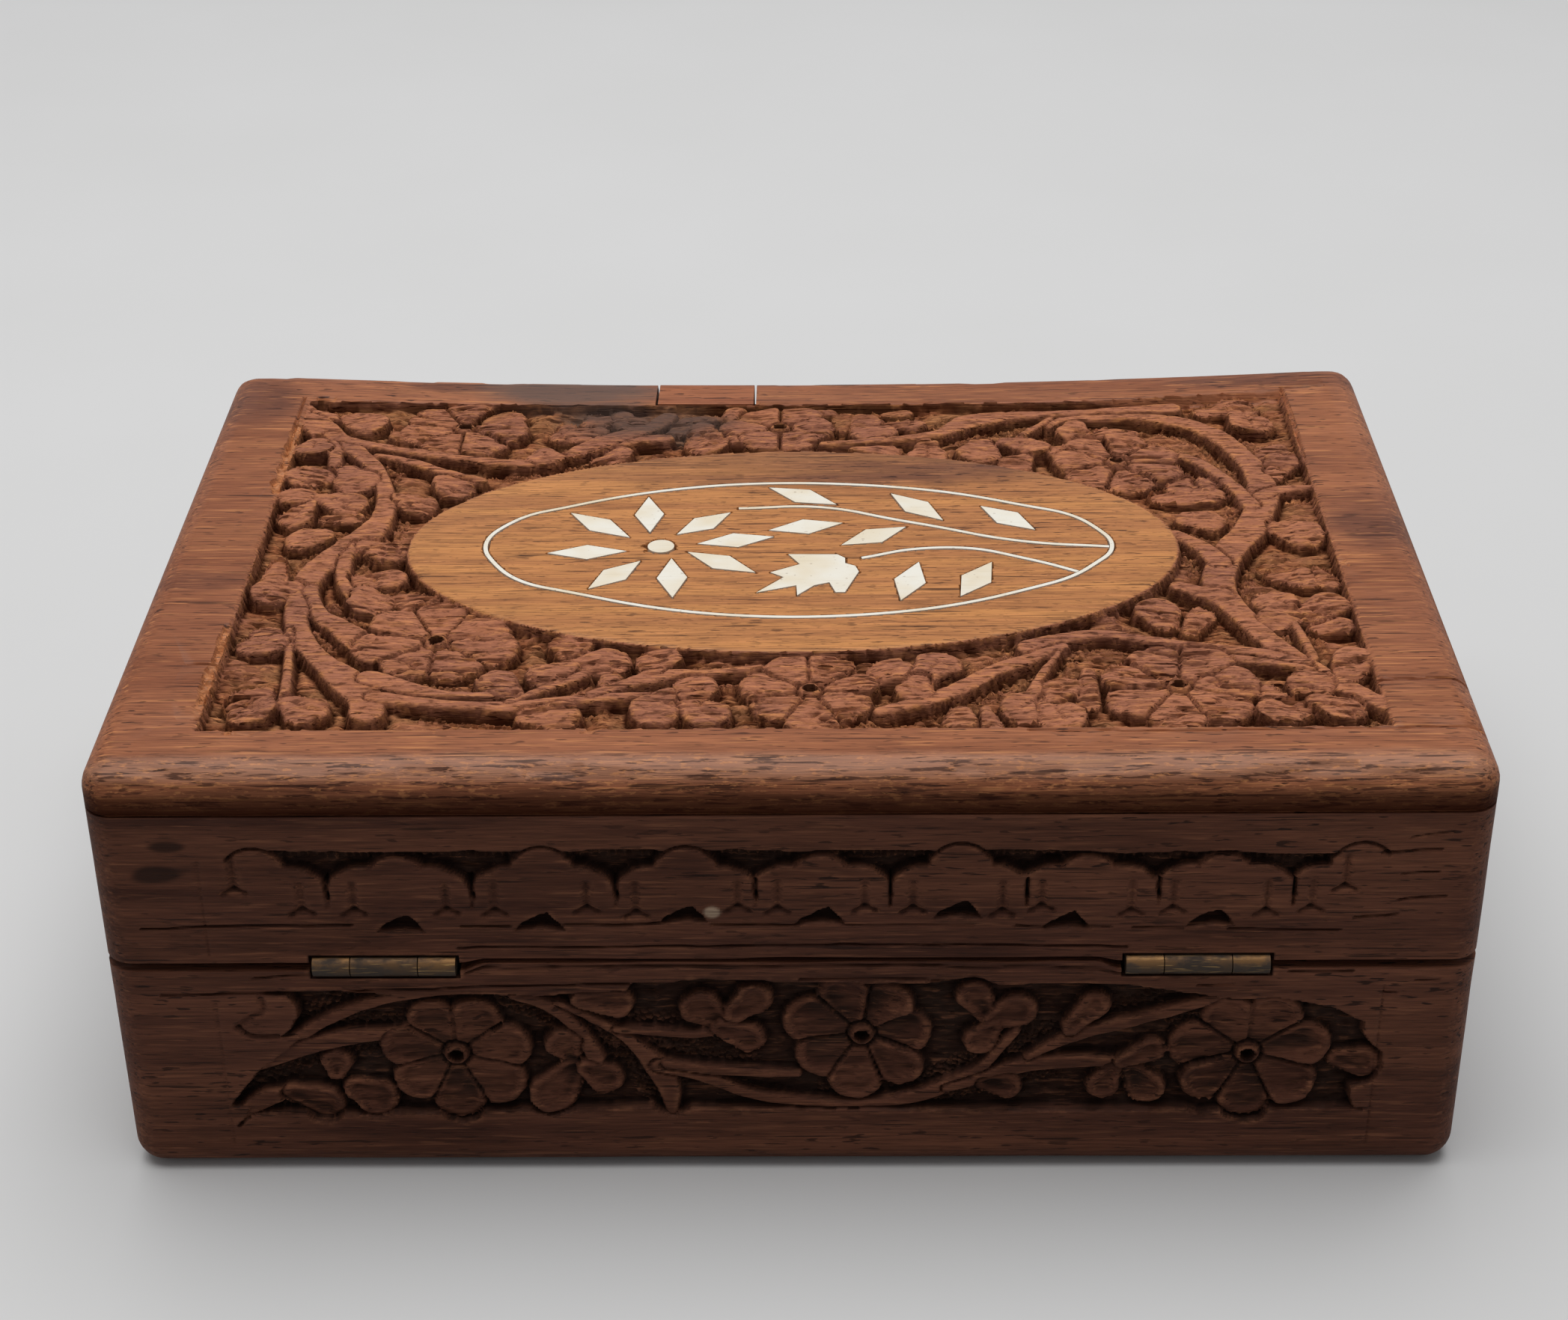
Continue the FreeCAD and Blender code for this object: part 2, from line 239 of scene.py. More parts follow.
def inside_polygon(u, v, corners):
    """How far a place lies inside a closed outline: the nearest side's distance, negative outside."""
    nearest = np.full(u.shape, np.inf)
    crossings = np.zeros(u.shape, bool)
    for (u0, v0), (u1, v1) in zip(corners, corners[1:] + corners[:1]):
        nearest = np.minimum(nearest, -inside_taper(u, v, (u0, v0), 0, (u1, v1), 0))
        if v0 != v1:
            crossings ^= ((v0 > v) != (v1 > v)) & (u < u0 + (v - v0) * (u1 - u0) / (v1 - v0))
    return np.where(crossings, nearest, -nearest)


def smooth_line(points, steps=7):
    """Places along a smooth curve through the points, by cubic pieces whose slopes follow the neighbours."""
    p = np.asarray(points, float)
    p = np.concatenate([2 * p[:1] - p[1:2], p, 2 * p[-1:] - p[-2:-1]])
    t = np.linspace(0, 1, steps, endpoint=False)[:, None]
    spans = []
    for before, start, end, after in zip(p, p[1:], p[2:], p[3:]):
        slope_start, slope_end = (end - before) / 2, (after - start) / 2
        rise = end - start
        spans.append(start + slope_start * t + (3 * rise - 2 * slope_start - slope_end) * t ** 2
                     + (slope_start + slope_end - 2 * rise) * t ** 3)
    return np.concatenate(spans + [p[-2:-1]])


print("each unevenness has", LATTICE, "by", LATTICE, "random numbers behind it")

# %% The relief
CUT_WIDTH, CUT_DEPTH = 0.36, 0.8
CHATTER_PITCH = 0.95
LADDER_RISE = 0.45
WALL_SLOPE, WALL_FOOT = 3.6, 0.6
GROUND_SPREAD = 1.9
FAR_AWAY = 9.0
TOP_SINK, TOP_DROP = 0.02, 0.1
CRACK_HALF, PATCH_BIAS, PATCH_SOFT, SOUND_SHARE = 0.26, 0.25, 0.4, 0.8
FLAKE_DEPTH, FLAKE_SHARP = 0.16, 2.5
SPLINTERS = [(0.1, 1.9, 0.55, 4), (0.05, 1.8, 0.3, 10)]
TORN_GROUND = [(1.0, 2.6, 0.5, 1), (0.8, 0.9, 0.32, 2), (1.2, 4.2, 2.6, 3)]
GOUGED_TOP = [(0.12, 2.6, 1.0, 5), (0.07, 1.1, 0.35, 6)]
GRAIN_CRACKS = [(1.0, 6.5, 0.85, 13), (0.5, 2.1, 0.42, 14)]


class Relief:
    """Heights over a grid of places on a face, 0 for uncut wood and negative where wood is cut away.

    The places are laid out as they are seen from outside the box: u to the right and v up or away.
    """

    def __init__(self, across, up, seed):
        self.across, self.up, self.seed = across, up, seed
        self.u, self.v = np.meshgrid(across, up)
        self.height, self.ladder, self.sound = np.zeros((3,) + self.u.shape)
        self.nearest = np.full(self.u.shape, -FAR_AWAY)
        self.random = np.random.default_rng(seed)
        self.splinter = waves(self.u, self.v, SPLINTERS, seed)

    def window(self, places, reach):
        """The part of the grid within reach of some places."""
        places = np.asarray(places)
        low, high = places.min(0) - reach, places.max(0) + reach
        columns = slice(*np.searchsorted(self.across, (low[0], high[0])))
        rows = slice(*np.searchsorted(self.up, (low[1], high[1])))
        return rows, columns

    def set_in(self, where, inside, top):
        """Leaves a motif standing: its own top inside its outline and a thin knife cut round it."""
        cut = np.where(inside > -CUT_WIDTH, -CUT_DEPTH * (1 + inside / CUT_WIDTH), 0)
        outside = np.minimum(self.height[where], cut)
        self.height[where] = np.where(inside > 0, np.minimum(top, -TOP_SINK), outside)
        self.nearest[where] = np.maximum(self.nearest[where], inside)

    def clear_ground(self, inside, depth, run, rough, left_over):
        """Cuts away the wood between the motifs: deepest along their outlines, higher and torn in between.

        Inside says how far a place lies in the part that is carved at all; wood outside it stays uncut.
        Left over is the share of the depth that stays standing far from every outline.
        """
        filled = left_over * (1 - np.exp(np.clip(self.nearest, -FAR_AWAY, 0) / GROUND_SPREAD))
        floor = depth * (1 - filled) + rough * waves(self.u, self.v, TORN_GROUND, self.seed)
        inside = inside + self.splinter
        ground = (LADDER_RISE * self.ladder - floor) * np.clip(inside / run, 0, 1)
        ground = np.maximum(ground, WALL_SLOPE * np.clip(self.nearest, -1, 0) - WALL_FOOT)
        self.height = np.where(self.nearest > 0, self.height, ground) * (inside > 0)

    def tear(self, share, depth):
        """Opens cracks along the grain, in patches: the lines where a stretched random field passes zero."""
        u, v = self.u, self.v
        line = np.clip(1 - np.abs(waves(u, v, GRAIN_CRACKS, self.seed)) / CRACK_HALF, 0, 1)
        patches = ease((uneven(u, v, 5.5, 3.2, self.seed + 15) + PATCH_BIAS) / PATCH_SOFT)
        self.height -= share * depth * line * patches * (1 - SOUND_SHARE * self.sound)

    def worn(self, where, inside, drop, width, rough=1.0):
        """How far a top lies below its level: rolled off near the outline and uneven as from a gouge."""
        u, v = self.u[where], self.v[where]
        flakes = FLAKE_DEPTH * ease(FLAKE_SHARP * uneven(u, v, 5, 0.9, self.seed + 16))
        uneven_top = waves(u, v, GOUGED_TOP, self.seed) + flakes
        return drop * np.clip(1 - inside / width, 0, 1) ** 2 + TOP_DROP + rough * uneven_top


print("the knife cut round a motif is", CUT_WIDTH, "mm wide and", CUT_DEPTH, "mm deep")


# %% The motifs
ROOT_SHARE = 0.6
MOTIF_REACH, STEM_REACH = 2.2, 3
HAND_TILT, PETAL_TILT, HAND_RISE = 0.09, 0.1, 0.12
LOBE_ROLL, STEM_ROLL, PETAL_ROLL = (0.3, 0.7), (0.3, 0.4), (0.35, 0.9)
ROOT_DROP, PETAL_ROOT_DROP = 0.2, 0.25
DISH_FROM, DISH_OVER = 0.3, 1.1
CREASE_HALF = 0.35
LADDER_FROM, LADDER_OVER, LADDER_GAP = 2.4, 0.6, 0.25
STEM_SPLINTER, STEM_ROUGH = 0.4, 0.45
PETAL_WIDTHS, PETAL_LENGTHS = (0.88, 1.08), (0.9, 1.06)
PETAL_WAIST = 0.8
PETAL_CUT, PETAL_CUT_HALF, CUT_SPLINTER = 0.6, 0.34, 0.6
EYE_DROP, EYE_CUT, EYE_CUT_HALF = 0.2, 0.55, 0.36
EYE_FALL, EYE_FLAT, EYE_OVER = 0.35, 1.0, 0.5
EYE_HOLE, EYE_RING, HOLE_DEPTH = 0.75, 1.55, 1.9


class Carving(Relief):
    """A relief with the motifs of this box: lobes, stems, rosettes and scored lines."""

    def lobe(self, root, tip, radius, level=-0.2, dish=0.0, crease=0.0):
        """A leaf, petal or bud that swells from its root to a round tip, tilted a little as by hand."""
        where = self.window([root, tip], radius + MOTIF_REACH)
        u, v = self.u[where], self.v[where]
        inside = inside_taper(u, v, root, ROOT_SHARE * radius, tip, radius) + self.splinter[where]
        du, dv = tip[0] - root[0], tip[1] - root[1]
        length = math.hypot(du, dv)
        along = ((u - root[0]) * du + (v - root[1]) * dv) / length
        aside = ((v - root[1]) * du - (u - root[0]) * dv) / length
        tilt = self.random.normal(0, HAND_TILT, 2)
        top = level + self.random.normal(0, HAND_RISE) + tilt[0] * aside + tilt[1] * (along - length)
        top = top - self.worn(where, inside, *LOBE_ROLL) - ROOT_DROP * ease(1 - along / (length + 0.1))
        top = top - dish * ease((inside - DISH_FROM) / DISH_OVER)
        reach = ease((along + 0.4) / 1.2) * ease(length + 0.5 * radius - along)
        top = top - crease * np.clip(1 - np.abs(aside) / CREASE_HALF, 0, 1) * reach
        self.set_in(where, inside, top)

    def stem(self, points, level=-0.12):
        """A smooth flat stem through places that each give u, v and half its width there.

        Its edges are bevelled, and the gouge has left ladder marks in the ground beside it.
        """
        line = smooth_line(points)
        where = self.window(line[:, :2], line[:, 2].max() + STEM_REACH)
        u, v = self.u[where], self.v[where]
        walked = np.concatenate([[0], np.cumsum(np.hypot(*np.diff(line[:, :2], axis=0).T))])
        inside, along = np.full(u.shape, -np.inf), np.zeros(u.shape)
        for start, end, gone in zip(line, line[1:], walked):
            piece = inside_taper(u, v, start[:2], start[2], end[:2], end[2])
            along = np.where(piece > inside, gone + np.hypot(u - start[0], v - start[1]), along)
            inside = np.maximum(inside, piece)
        chatter = np.clip(np.sin(2 * np.pi * along / CHATTER_PITCH), 0, 1)
        ladder = chatter * ease((inside + LADDER_FROM) / LADDER_OVER)
        ladder *= (inside < -LADDER_GAP) & (uneven(u, v, 9, 9, self.seed + 12) > -0.25)
        self.ladder[where] = np.maximum(self.ladder[where], ladder)
        inside = inside + STEM_SPLINTER * self.splinter[where]
        self.sound[where] = np.maximum(self.sound[where], inside > 0)
        self.set_in(where, inside, level - self.worn(where, inside, *STEM_ROLL, STEM_ROUGH))

    def rosette(self, centre, radius, petals, first, level=-0.25, dish=0.0, slim=0.95):
        """A flower cut from one disc: round petal tips, a knife cut between neighbours, an eye with a hole.

        Every place belongs to the petal whose direction is nearest, and each petal has its own length and
        tilt. Slim petals are narrower than their share of the disc, so the ground shows between their tips.
        """
        where = self.window([centre], radius + MOTIF_REACH)
        du, dv = self.u[where] - centre[0], self.v[where] - centre[1]
        gap, turn = np.hypot(du, dv), np.arctan2(dv, du) - math.radians(first)
        share = 2 * np.pi / petals
        which = np.round(turn / share).astype(int) % petals
        off = (turn - which * share + np.pi) % (2 * np.pi) - np.pi
        tip_radius = slim * radius * math.sin(share / 2) * self.random.uniform(*PETAL_WIDTHS, petals)[which]
        reach = radius * self.random.uniform(*PETAL_LENGTHS, petals)[which] - tip_radius
        along, aside = gap * np.cos(off), gap * np.sin(off)
        walk = np.clip(along / reach, 0, 1)
        half = PETAL_WAIST + (tip_radius - PETAL_WAIST) * walk
        inside = half - np.hypot(along - walk * reach, aside) + self.splinter[where]
        tilt = self.random.normal(0, PETAL_TILT, petals)[which]
        rise = self.random.normal(0, HAND_RISE, petals)[which]
        top = level + rise + tilt * aside - self.worn(where, inside, *PETAL_ROLL)
        top = top - PETAL_ROOT_DROP * ease(1 - gap / radius) - dish * ease((inside - DISH_FROM) / DISH_OVER)
        to_next = gap * np.sin(np.clip(share / 2 - np.abs(off), 0, np.pi / 2))
        to_next = to_next + CUT_SPLINTER * self.splinter[where]
        top = top - PETAL_CUT * np.clip(1 - to_next / PETAL_CUT_HALF, 0, 1)
        eye = level - EYE_DROP - EYE_FALL * np.clip((gap - EYE_FLAT) / EYE_OVER, 0, 1)
        ring = EYE_CUT * np.clip(1 - np.abs(gap - EYE_RING) / EYE_CUT_HALF, 0, 1)
        top = np.where(gap < EYE_RING, eye, top) - ring
        top = np.where(gap < EYE_HOLE, -HOLE_DEPTH, top)
        self.set_in(where, np.maximum(inside, EYE_RING - gap), top)

    def score(self, points, depth, half_width, waver=0.0):
        """A scratch, crack or knife cut along a line: a V-groove that wavers a little."""
        line = smooth_line(points)
        where = self.window(line, half_width + 3 * waver + 0.1)
        u, v = self.u[where], self.v[where]
        v = v + waver * uneven(u, v * 0, 3.1, 1, self.seed + len(points))
        gap = np.full(u.shape, np.inf)
        for a, b in zip(line, line[1:]):
            gap = np.minimum(gap, -inside_taper(u, v, a, 0, b, 0))
        self.height[where] -= depth * np.clip(1 - gap / half_width, 0, 1)


print("motifs: lobe, stem, rosette, score")

# %% [markdown]
# ## The lid's field
# The sunk field lies round a smooth oval. Stems sweep through it from the corners, and rosettes,
# three-lobed sprigs and buds fill the room that is left. The layout is written as it is seen from the hinge
# side, where u runs to the right and v away from the viewer; the box's own X and Y are both the other way
# round.

# %% Outlines of the field and the medallion
FIELD_LEFT, FIELD_RIGHT, FIELD_NEAR, FIELD_FAR = -64.5, 65.3, -42.4, 41.5
FIELD_DEPTH = 2.2
FLARE, FLARE_FROM, FLARE_OVER = 1.4, 34, 28
OVAL_CENTRE, OVAL_HALF = (0.2, -0.5), (46.5, 25.5)


def inside_oval(u, v):
    """How far a place lies inside the medallion: the ellipse's equation divided by its slope."""
    a, b = (u - OVAL_CENTRE[0]) / OVAL_HALF[0], (v - OVAL_CENTRE[1]) / OVAL_HALF[1]
    slope = 2 * np.hypot(a / OVAL_HALF[0], b / OVAL_HALF[1]) + 1e-9
    return (1 - a * a - b * b) / slope


def inside_field(u, v):
    """How far a place lies inside the sunk part of the lid: within the rectangle and outside the oval."""
    far = FIELD_FAR + FLARE * ease((u - FLARE_FROM) / FLARE_OVER)
    rectangle = np.minimum(np.minimum(u - FIELD_LEFT, FIELD_RIGHT - u), np.minimum(v - FIELD_NEAR, far - v))
    return np.minimum(rectangle, -inside_oval(u, v))


print("field", FIELD_RIGHT - FIELD_LEFT, "by", round(FIELD_FAR - FIELD_NEAR, 1), "mm")

# %% Stems of the lid
LID_STEMS = [
    [(-64.3, 39.8, 0.6), (-62.4, 34.6, 2.1), (-59.6, 30.2, 1.9), (-56.5, 26.8, 1.3), (-53.6, 22.2, 1.2),
     (-51.6, 17, 1.1), (-50.6, 12, 1.3), (-50.8, 7, 1.6), (-52.2, 2.8, 2.1), (-54.8, -1.4, 1.9),
     (-57, -6, 1.8), (-57.5, -10, 1.6), (-57.7, -14, 1.5), (-57, -19, 1.4), (-55, -23.8, 1.4),
     (-52.6, -27.4, 1.5), (-49.6, -31.2, 2.2), (-47, -35.2, 2.1), (-46.4, -38.2, 2)],
    [(-53, 1.4, 0.4), (-53.6, -2.8, 0.9), (-53.4, -7, 0.9), (-52.6, -10, 0.8), (-51, -12, 1.4)],
    [(-56.8, -10.3, 1), (-55.6, -13.8, 0.8), (-54.4, -16.8, 1.2), (-52, -19.3, 1.6), (-49.5, -22.3, 2)],
    [(-57.7, -20, 0.5), (-57, -25, 0.55), (-56.4, -30, 0.6), (-56, -34.6, 0.7)],
    [(-60.6, 30.8, 0.7), (-59.2, 27.2, 0.9), (-58.6, 23, 0.9), (-58.6, 20.6, 0.7)],
    [(-60.2, 31.2, 1.2), (-56.5, 29.1, 0.9), (-52, 27.2, 0.8), (-47, 25.6, 0.9), (-42, 24.2, 0.8),
     (-37, 22.9, 1), (-33, 23, 1.2), (-29, 25.3, 1), (-25, 27.3, 1.2), (-20, 29.2, 1), (-16.5, 29.8, 1.2)],
    [(-28.5, 25.7, 0.9), (-24.6, 28.8, 1.7), (-21, 31.5, 1.6), (-18, 34.6, 1.6), (-16.5, 37.8, 1.3)],
    [(-53.5, 25.2, 0.5), (-50, 23.8, 0.8), (-46, 21.5, 0.8), (-42.5, 19.4, 0.8), (-39, 18, 0.5)],
    [(-63.5, 38.7, 0.5), (-61, 37.3, 0.7), (-59, 36.8, 0.7)],
    [(4, 27.9, 0.6), (10, 28.6, 0.7), (16, 29.9, 0.9), (20, 31.6, 1.2), (23.4, 35.2, 2.2), (28, 36.9, 1.6),
     (33, 37.5, 1.1), (38, 37.8, 0.9), (44, 38.5, 1), (50, 38.8, 1.6)],
    [(33.5, 32.8, 0.5), (35.5, 35.3, 0.8), (40, 36, 0.9), (46, 35.9, 1.1), (51, 33.8, 1.5),
     (54.8, 30, 1.6), (57.2, 25, 1.6), (58.7, 19.6, 1.7), (58.9, 13.6, 2), (57.6, 8.2, 2), (55.5, 2.9, 2),
     (53.2, -0.9, 2), (51.5, -5.3, 2), (50.5, -9.6, 2), (51, -13.8, 1.8), (52.7, -18.6, 1.5),
     (54.8, -23.7, 1.5), (57.1, -27.7, 1.6), (59.4, -31, 1.6), (61.7, -33.7, 1.5), (64.5, -36.7, 1.2),
     (68.5, -41.9, 0.5)],
    [(46.4, 26.6, 0.6), (49.4, 24.2, 0.8), (52.6, 20.8, 0.9), (55.3, 15.6, 1), (57, 10.1, 1.2)],
    [(46.8, 2.6, 0.8), (49.6, -0.9, 1.3), (51.2, -4.7, 1.6)],
    [(45.4, -10.4, 0.8), (48.3, -12, 1.4), (50.6, -12.6, 1.5)],
    [(57.8, -18.6, 0.5), (58.6, -23.2, 0.6), (59.1, -27.1, 0.6)],
    [(29, 29.3, 0.5), (31.5, 32.4, 0.6), (34, 35.8, 0.6)],
    [(58.6, 12.5, 1.2), (61, 14, 1), (65, 15, 0.5)],
    [(58, -28.4, 0.8), (53, -26, 0.9), (47, -24.6, 0.8), (42, -23.5, 0.9), (36, -21.8, 0.9),
     (31, -22.7, 1.2), (27.5, -24.6, 1.8)],
    [(58.5, -29.8, 0.5), (53.5, -28.2, 0.7), (49.5, -27, 0.7)],
    [(31, -24.4, 0.8), (27, -27.3, 1.1), (23, -29.8, 1.2), (19.6, -33, 1.3), (15.5, -36, 1.1),
     (10, -38.3, 0.8)],
    [(30.4, -26, 0.4), (28.4, -30.3, 0.6), (26.8, -35, 0.9)],
    [(-47, -30.8, 1.6), (-42.5, -33, 1.3), (-38, -34.3, 0.8), (-33, -34.6, 0.5)],
    [(-46, -34.9, 1.2), (-41, -36, 1), (-36, -36.8, 0.9), (-30.5, -37.1, 1.1), (-25, -35.9, 0.9),
     (-20, -35.2, 0.8), (-15, -34.6, 0.5)],
    [(-31, -36, 0.5), (-28, -33.9, 0.7), (-25.6, -32, 0.8), (-23, -30.2, 0.7)],
    [(-22, -34.6, 0.7), (-18.5, -32.6, 1), (-15.5, -31, 1.3), (-12.6, -30.2, 0.9), (-8, -29.8, 0.6),
     (-3, -29, 0.8)],
]
print(len(LID_STEMS), "stems on the lid")

# %% Lobes, rosettes and scratches of the lid
MOTIF_GROWTH = 0.35
LID_LOBES = [
    ((-60.5, -20.2), (-60.3, -22.4), 2.75), ((-61, -35.3), (-59.4, -36.9), 2.6),
    ((-55, -35.6), (-53.4, -37), 2.4), ((-59, -9.4), (-61.3, -10.8), 2.2),
    ((-57.2, 3.2), (-59.4, 2.7), 2.1), ((-60.6, 11), (-61.4, 8.9), 2.1), ((-59, 14.6), (-61.8, 14.2), 2.6),
    ((-58.6, 14.2), (-55.6, 12.3), 2.3), ((-56.6, 20.8), (-55.2, 18.3), 2.7),
    ((-59.6, 20.2), (-61.7, 19.8), 2.4), ((-62, 29.4), (-62, 27.7), 2.3),
    ((-48.6, 13.4), (-46.8, 11.8), 2.3), ((-44, 18), (-42.6, 16.2), 2.3), ((-51.5, 1), (-48.8, -0.9), 2.2),
    ((-51.5, -7.2), (-47.8, -7.4), 1.8), ((-50, -11.6), (-49.5, -12.6), 2.7),
    ((-58.4, 37.6), (-56, 35.4), 2.5), ((-26.2, 38), (-25.8, 36.8), 2.1), ((-22.4, 38), (-21.4, 36), 2.2),
    ((-25.6, 33.4), (-27.6, 32), 2.3), ((-32, 26.2), (-31.7, 24.6), 2.3),
    ((-24.6, 24.7), (-22.4, 25.1), 1.7), ((-12, 32.8), (-11, 28.9), 2.7), ((-8, 32.4), (-6.8, 31), 2),
    ((-14, 36.8), (-11.4, 37.4), 1.8), ((-7, 36.2), (-7.4, 38.6), 1.7), ((9.5, 37.6), (10.6, 32.2), 2.8),
    ((13, 35.2), (15.6, 34.8), 1.7), ((11.5, 39.6), (14.5, 39), 1.2), ((1.2, 39.4), (4.8, 39.2), 0.9),
    ((37, 33.3), (36.8, 31.2), 2.3), ((54.5, 38.4), (58.5, 40), 2.2), ((59.5, 39.4), (60, 33.8), 2.7),
    ((61, 19.2), (62.5, 22.7), 1.9), ((59.8, 4.6), (62.2, 2.9), 2.5), ((48.6, 6.8), (51, 6.4), 2),
    ((28, 28.8), (31, 26.9), 2.1), ((24.6, 28.8), (24, 25.5), 2.6), ((17.4, 27), (17.4, 25), 2.3),
    ((29.6, 23.7), (28.6, 22.3), 1.9), ((43.2, -18.2), (42.7, -16.6), 2.5),
    ((58.6, -16.4), (56.6, -14), 2.4), ((59.8, -16.8), (62.6, -14.8), 2.4), ((58, -17.2), (56, -18.2), 1.8),
    ((62.2, -30.4), (63.5, -27.6), 2.2), ((57.8, -35.6), (57.9, -33), 2.5), ((57, -36.4), (54, -38.4), 2.6),
    ((58.4, -36.4), (60.4, -37.8), 2.5), ((-24.6, -25.8), (-25, -23.8), 2.3),
    ((-24, -27.8), (-20.8, -27), 2.5), ((-25, -28.4), (-27, -29.6), 2.3),
    ((-15.4, -28.8), (-14.8, -27), 2.4), ((-31, -33.8), (-32.6, -31.7), 2.2),
    ((-28.6, -38.8), (-25.2, -38.6), 2.1), ((-13.4, -35.4), (-14.7, -37.5), 2.6),
    ((-10.8, -36.2), (-9.2, -38), 2.5), ((-10.8, -34.6), (-10.5, -32.8), 2.2),
    ((13.5, -30.4), (11.4, -29.4), 2.4), ((15.4, -30.2), (16.6, -28.2), 2.5),
    ((14.6, -31.4), (13.9, -33.8), 1.9), ((27.6, -35.8), (25.9, -37.4), 2.4),
    ((28.8, -36.8), (29.8, -39.3), 2.4), ((29.4, -35.6), (30.3, -33), 1.9),
    ((18.8, -37.6), (18.7, -40), 1.7),
]
LID_LEFTOVERS = [
    ((-46, -11.3), (-43.5, -13.4), 2), ((-61.5, -33.6), (-58.6, -33.4), 1),
    ((-57.5, 8.6), (-54.6, 8.8), 1.2), ((-51.6, 33.6), (-51, 31.8), 1.5), ((-29.6, 35.4), (-30, 31.6), 1.4),
    ((-15.6, 33), (-14.4, 34.6), 1.6), ((6.6, 34), (6.8, 38), 1.3), ((46.4, 13.4), (51.6, 14.2), 2.5),
    ((52, 17.5), (53, 14), 1.3), ((44, 31), (41, 31.4), 1.5), ((46, -20.3), (47.6, -16.8), 1.3),
    ((60.6, -19.6), (63.4, -19.2), 1.2), ((57.6, -7), (61, -7.8), 1.8), ((63, -5.8), (63.5, -9), 1.2),
    ((33.4, -30), (33, -36), 1), ((21.6, -38), (22.2, -41), 0.9), ((-20.6, -31.6), (-20, -30.4), 0.9),
    ((53, -33), (53.6, -35), 1.2), ((62.6, 26.6), (61, 25), 1.6), ((8, 25.8), (13, 26.4), 0.9),
    ((-61.8, -2.6), (-61.6, -7), 1.2), ((49.6, 18.6), (48.8, 15.6), 1.5), ((36, 27.6), (34.4, 26), 1.5),
]
LID_ROSETTES = [
    ((-40.5, -22.3), 9.3, 7, -65), ((2.3, -33.4), 8.3, 7, -88), ((43.3, -32.8), 9.2, 7, -97),
    ((-43, 34), 9, 7, -115), ((-1.6, 33.8), 7.7, 6, -60), ((41.5, 22.8), 8.8, 7, 75),
]
LID_SCORES = [
    ([(26, -43.1), (45, -43.2), (72.5, -42.6)], 0.5, 0.3), ([(66, 43.6), (71, 43.9)], 0.35, 0.25),
    ([(65.4, 43.8), (65.5, 36), (65.3, 22)], 0.5, 0.3),
    ([(-65.4, 42.4), (-65.3, 34), (-65.2, 25)], 0.45, 0.3), ([(-68, -28.3), (-64, -28.3)], 0.4, 0.25),
    ([(-67, -40), (-63, -40.1)], 0.45, 0.3), ([(62, -32.8), (68, -32.7), (75, -32.3)], 0.5, 0.25),
]
print(len(LID_LOBES) + len(LID_LEFTOVERS), "lobes and", len(LID_ROSETTES), "rosettes on the lid")

# %% [markdown]
# ## The pale inlay
# The inlay pieces stay as they were packed. The board only needs their pockets, so the distance to the
# nearest inlay piece is taken from the pieces' own top triangles. A little room is left round each piece,
# as glue lines have.

# %% Distance to the inlay
INLAY_REACH = 0.8
LOOKS_UP = 0.9
TINY = 1e-9
inlay_nodes = [name for name in frame["nodes"] if name.startswith("inlay_")]


def read_all(items, title, kind=float):
    """One threefold value of every item, read at once into rows of an array."""
    values = np.empty(3 * len(items), kind)
    items.foreach_get(title, values)
    return values.reshape(-1, 3)


def top_triangles(node):
    """The plan corners (triangles, 3, 2) of a node's faces that look up, as u and v."""
    mesh = frame["nodes"][node].data
    mesh.calc_loop_triangles()
    places = read_all(mesh.vertices, "co") / MM
    corners = places[read_all(mesh.loop_triangles, "vertices", int)]
    upward = read_all(mesh.loop_triangles, "normal")[:, 2] > LOOKS_UP
    return -corners[upward][:, :, :2]


def inlay_distance(relief):
    """How far each place lies inside the nearest inlay piece, taken triangle by triangle."""
    inside = np.full(relief.u.shape, -FAR_AWAY)
    for a, b, c in np.concatenate([top_triangles(node) for node in inlay_nodes]):
        where = relief.window([a, b, c], INLAY_REACH)
        u, v = relief.u[where], relief.v[where]
        turn = np.sign((b[0] - a[0]) * (c[1] - a[1]) - (b[1] - a[1]) * (c[0] - a[0]))
        depth = np.full(u.shape, np.inf)
        for p, q in ((a, b), (b, c), (c, a)):
            across = (q[0] - p[0]) * (v - p[1]) - (q[1] - p[1]) * (u - p[0])
            depth = np.minimum(depth, turn * across / (math.hypot(q[0] - p[0], q[1] - p[1]) + TINY))
        inside[where] = np.maximum(inside[where], depth)
    return inside


print(len(inlay_nodes), "inlay nodes")

# %% [markdown]
# ## The top board
# The flat of the board is the carved sheet. Its edge is a quarter round, carried along the sheet's outline
# ring by ring and fanned at the four corners, then a short upright side and the underside. The front rim is
# worn hollow in its middle, which the photograph shows against the pale background.

# %% Grid of the top board
BOARD_STEP = 0.2
RIM_BLOCK_SIDES = -18.05, -5.25
RIM_KERF = 0.32
HAIR = 0.01
flat_x, flat_y = HALF_X - EDGE_RADIUS, HALF_Y - EDGE_RADIUS


def spaced(low, high, step, extra=()):
    """Even places from low to high, with a few exact ones added."""
    places = np.linspace(low, high, int(round((high - low) / step)) + 1)
    return np.unique(np.concatenate([places, extra]))


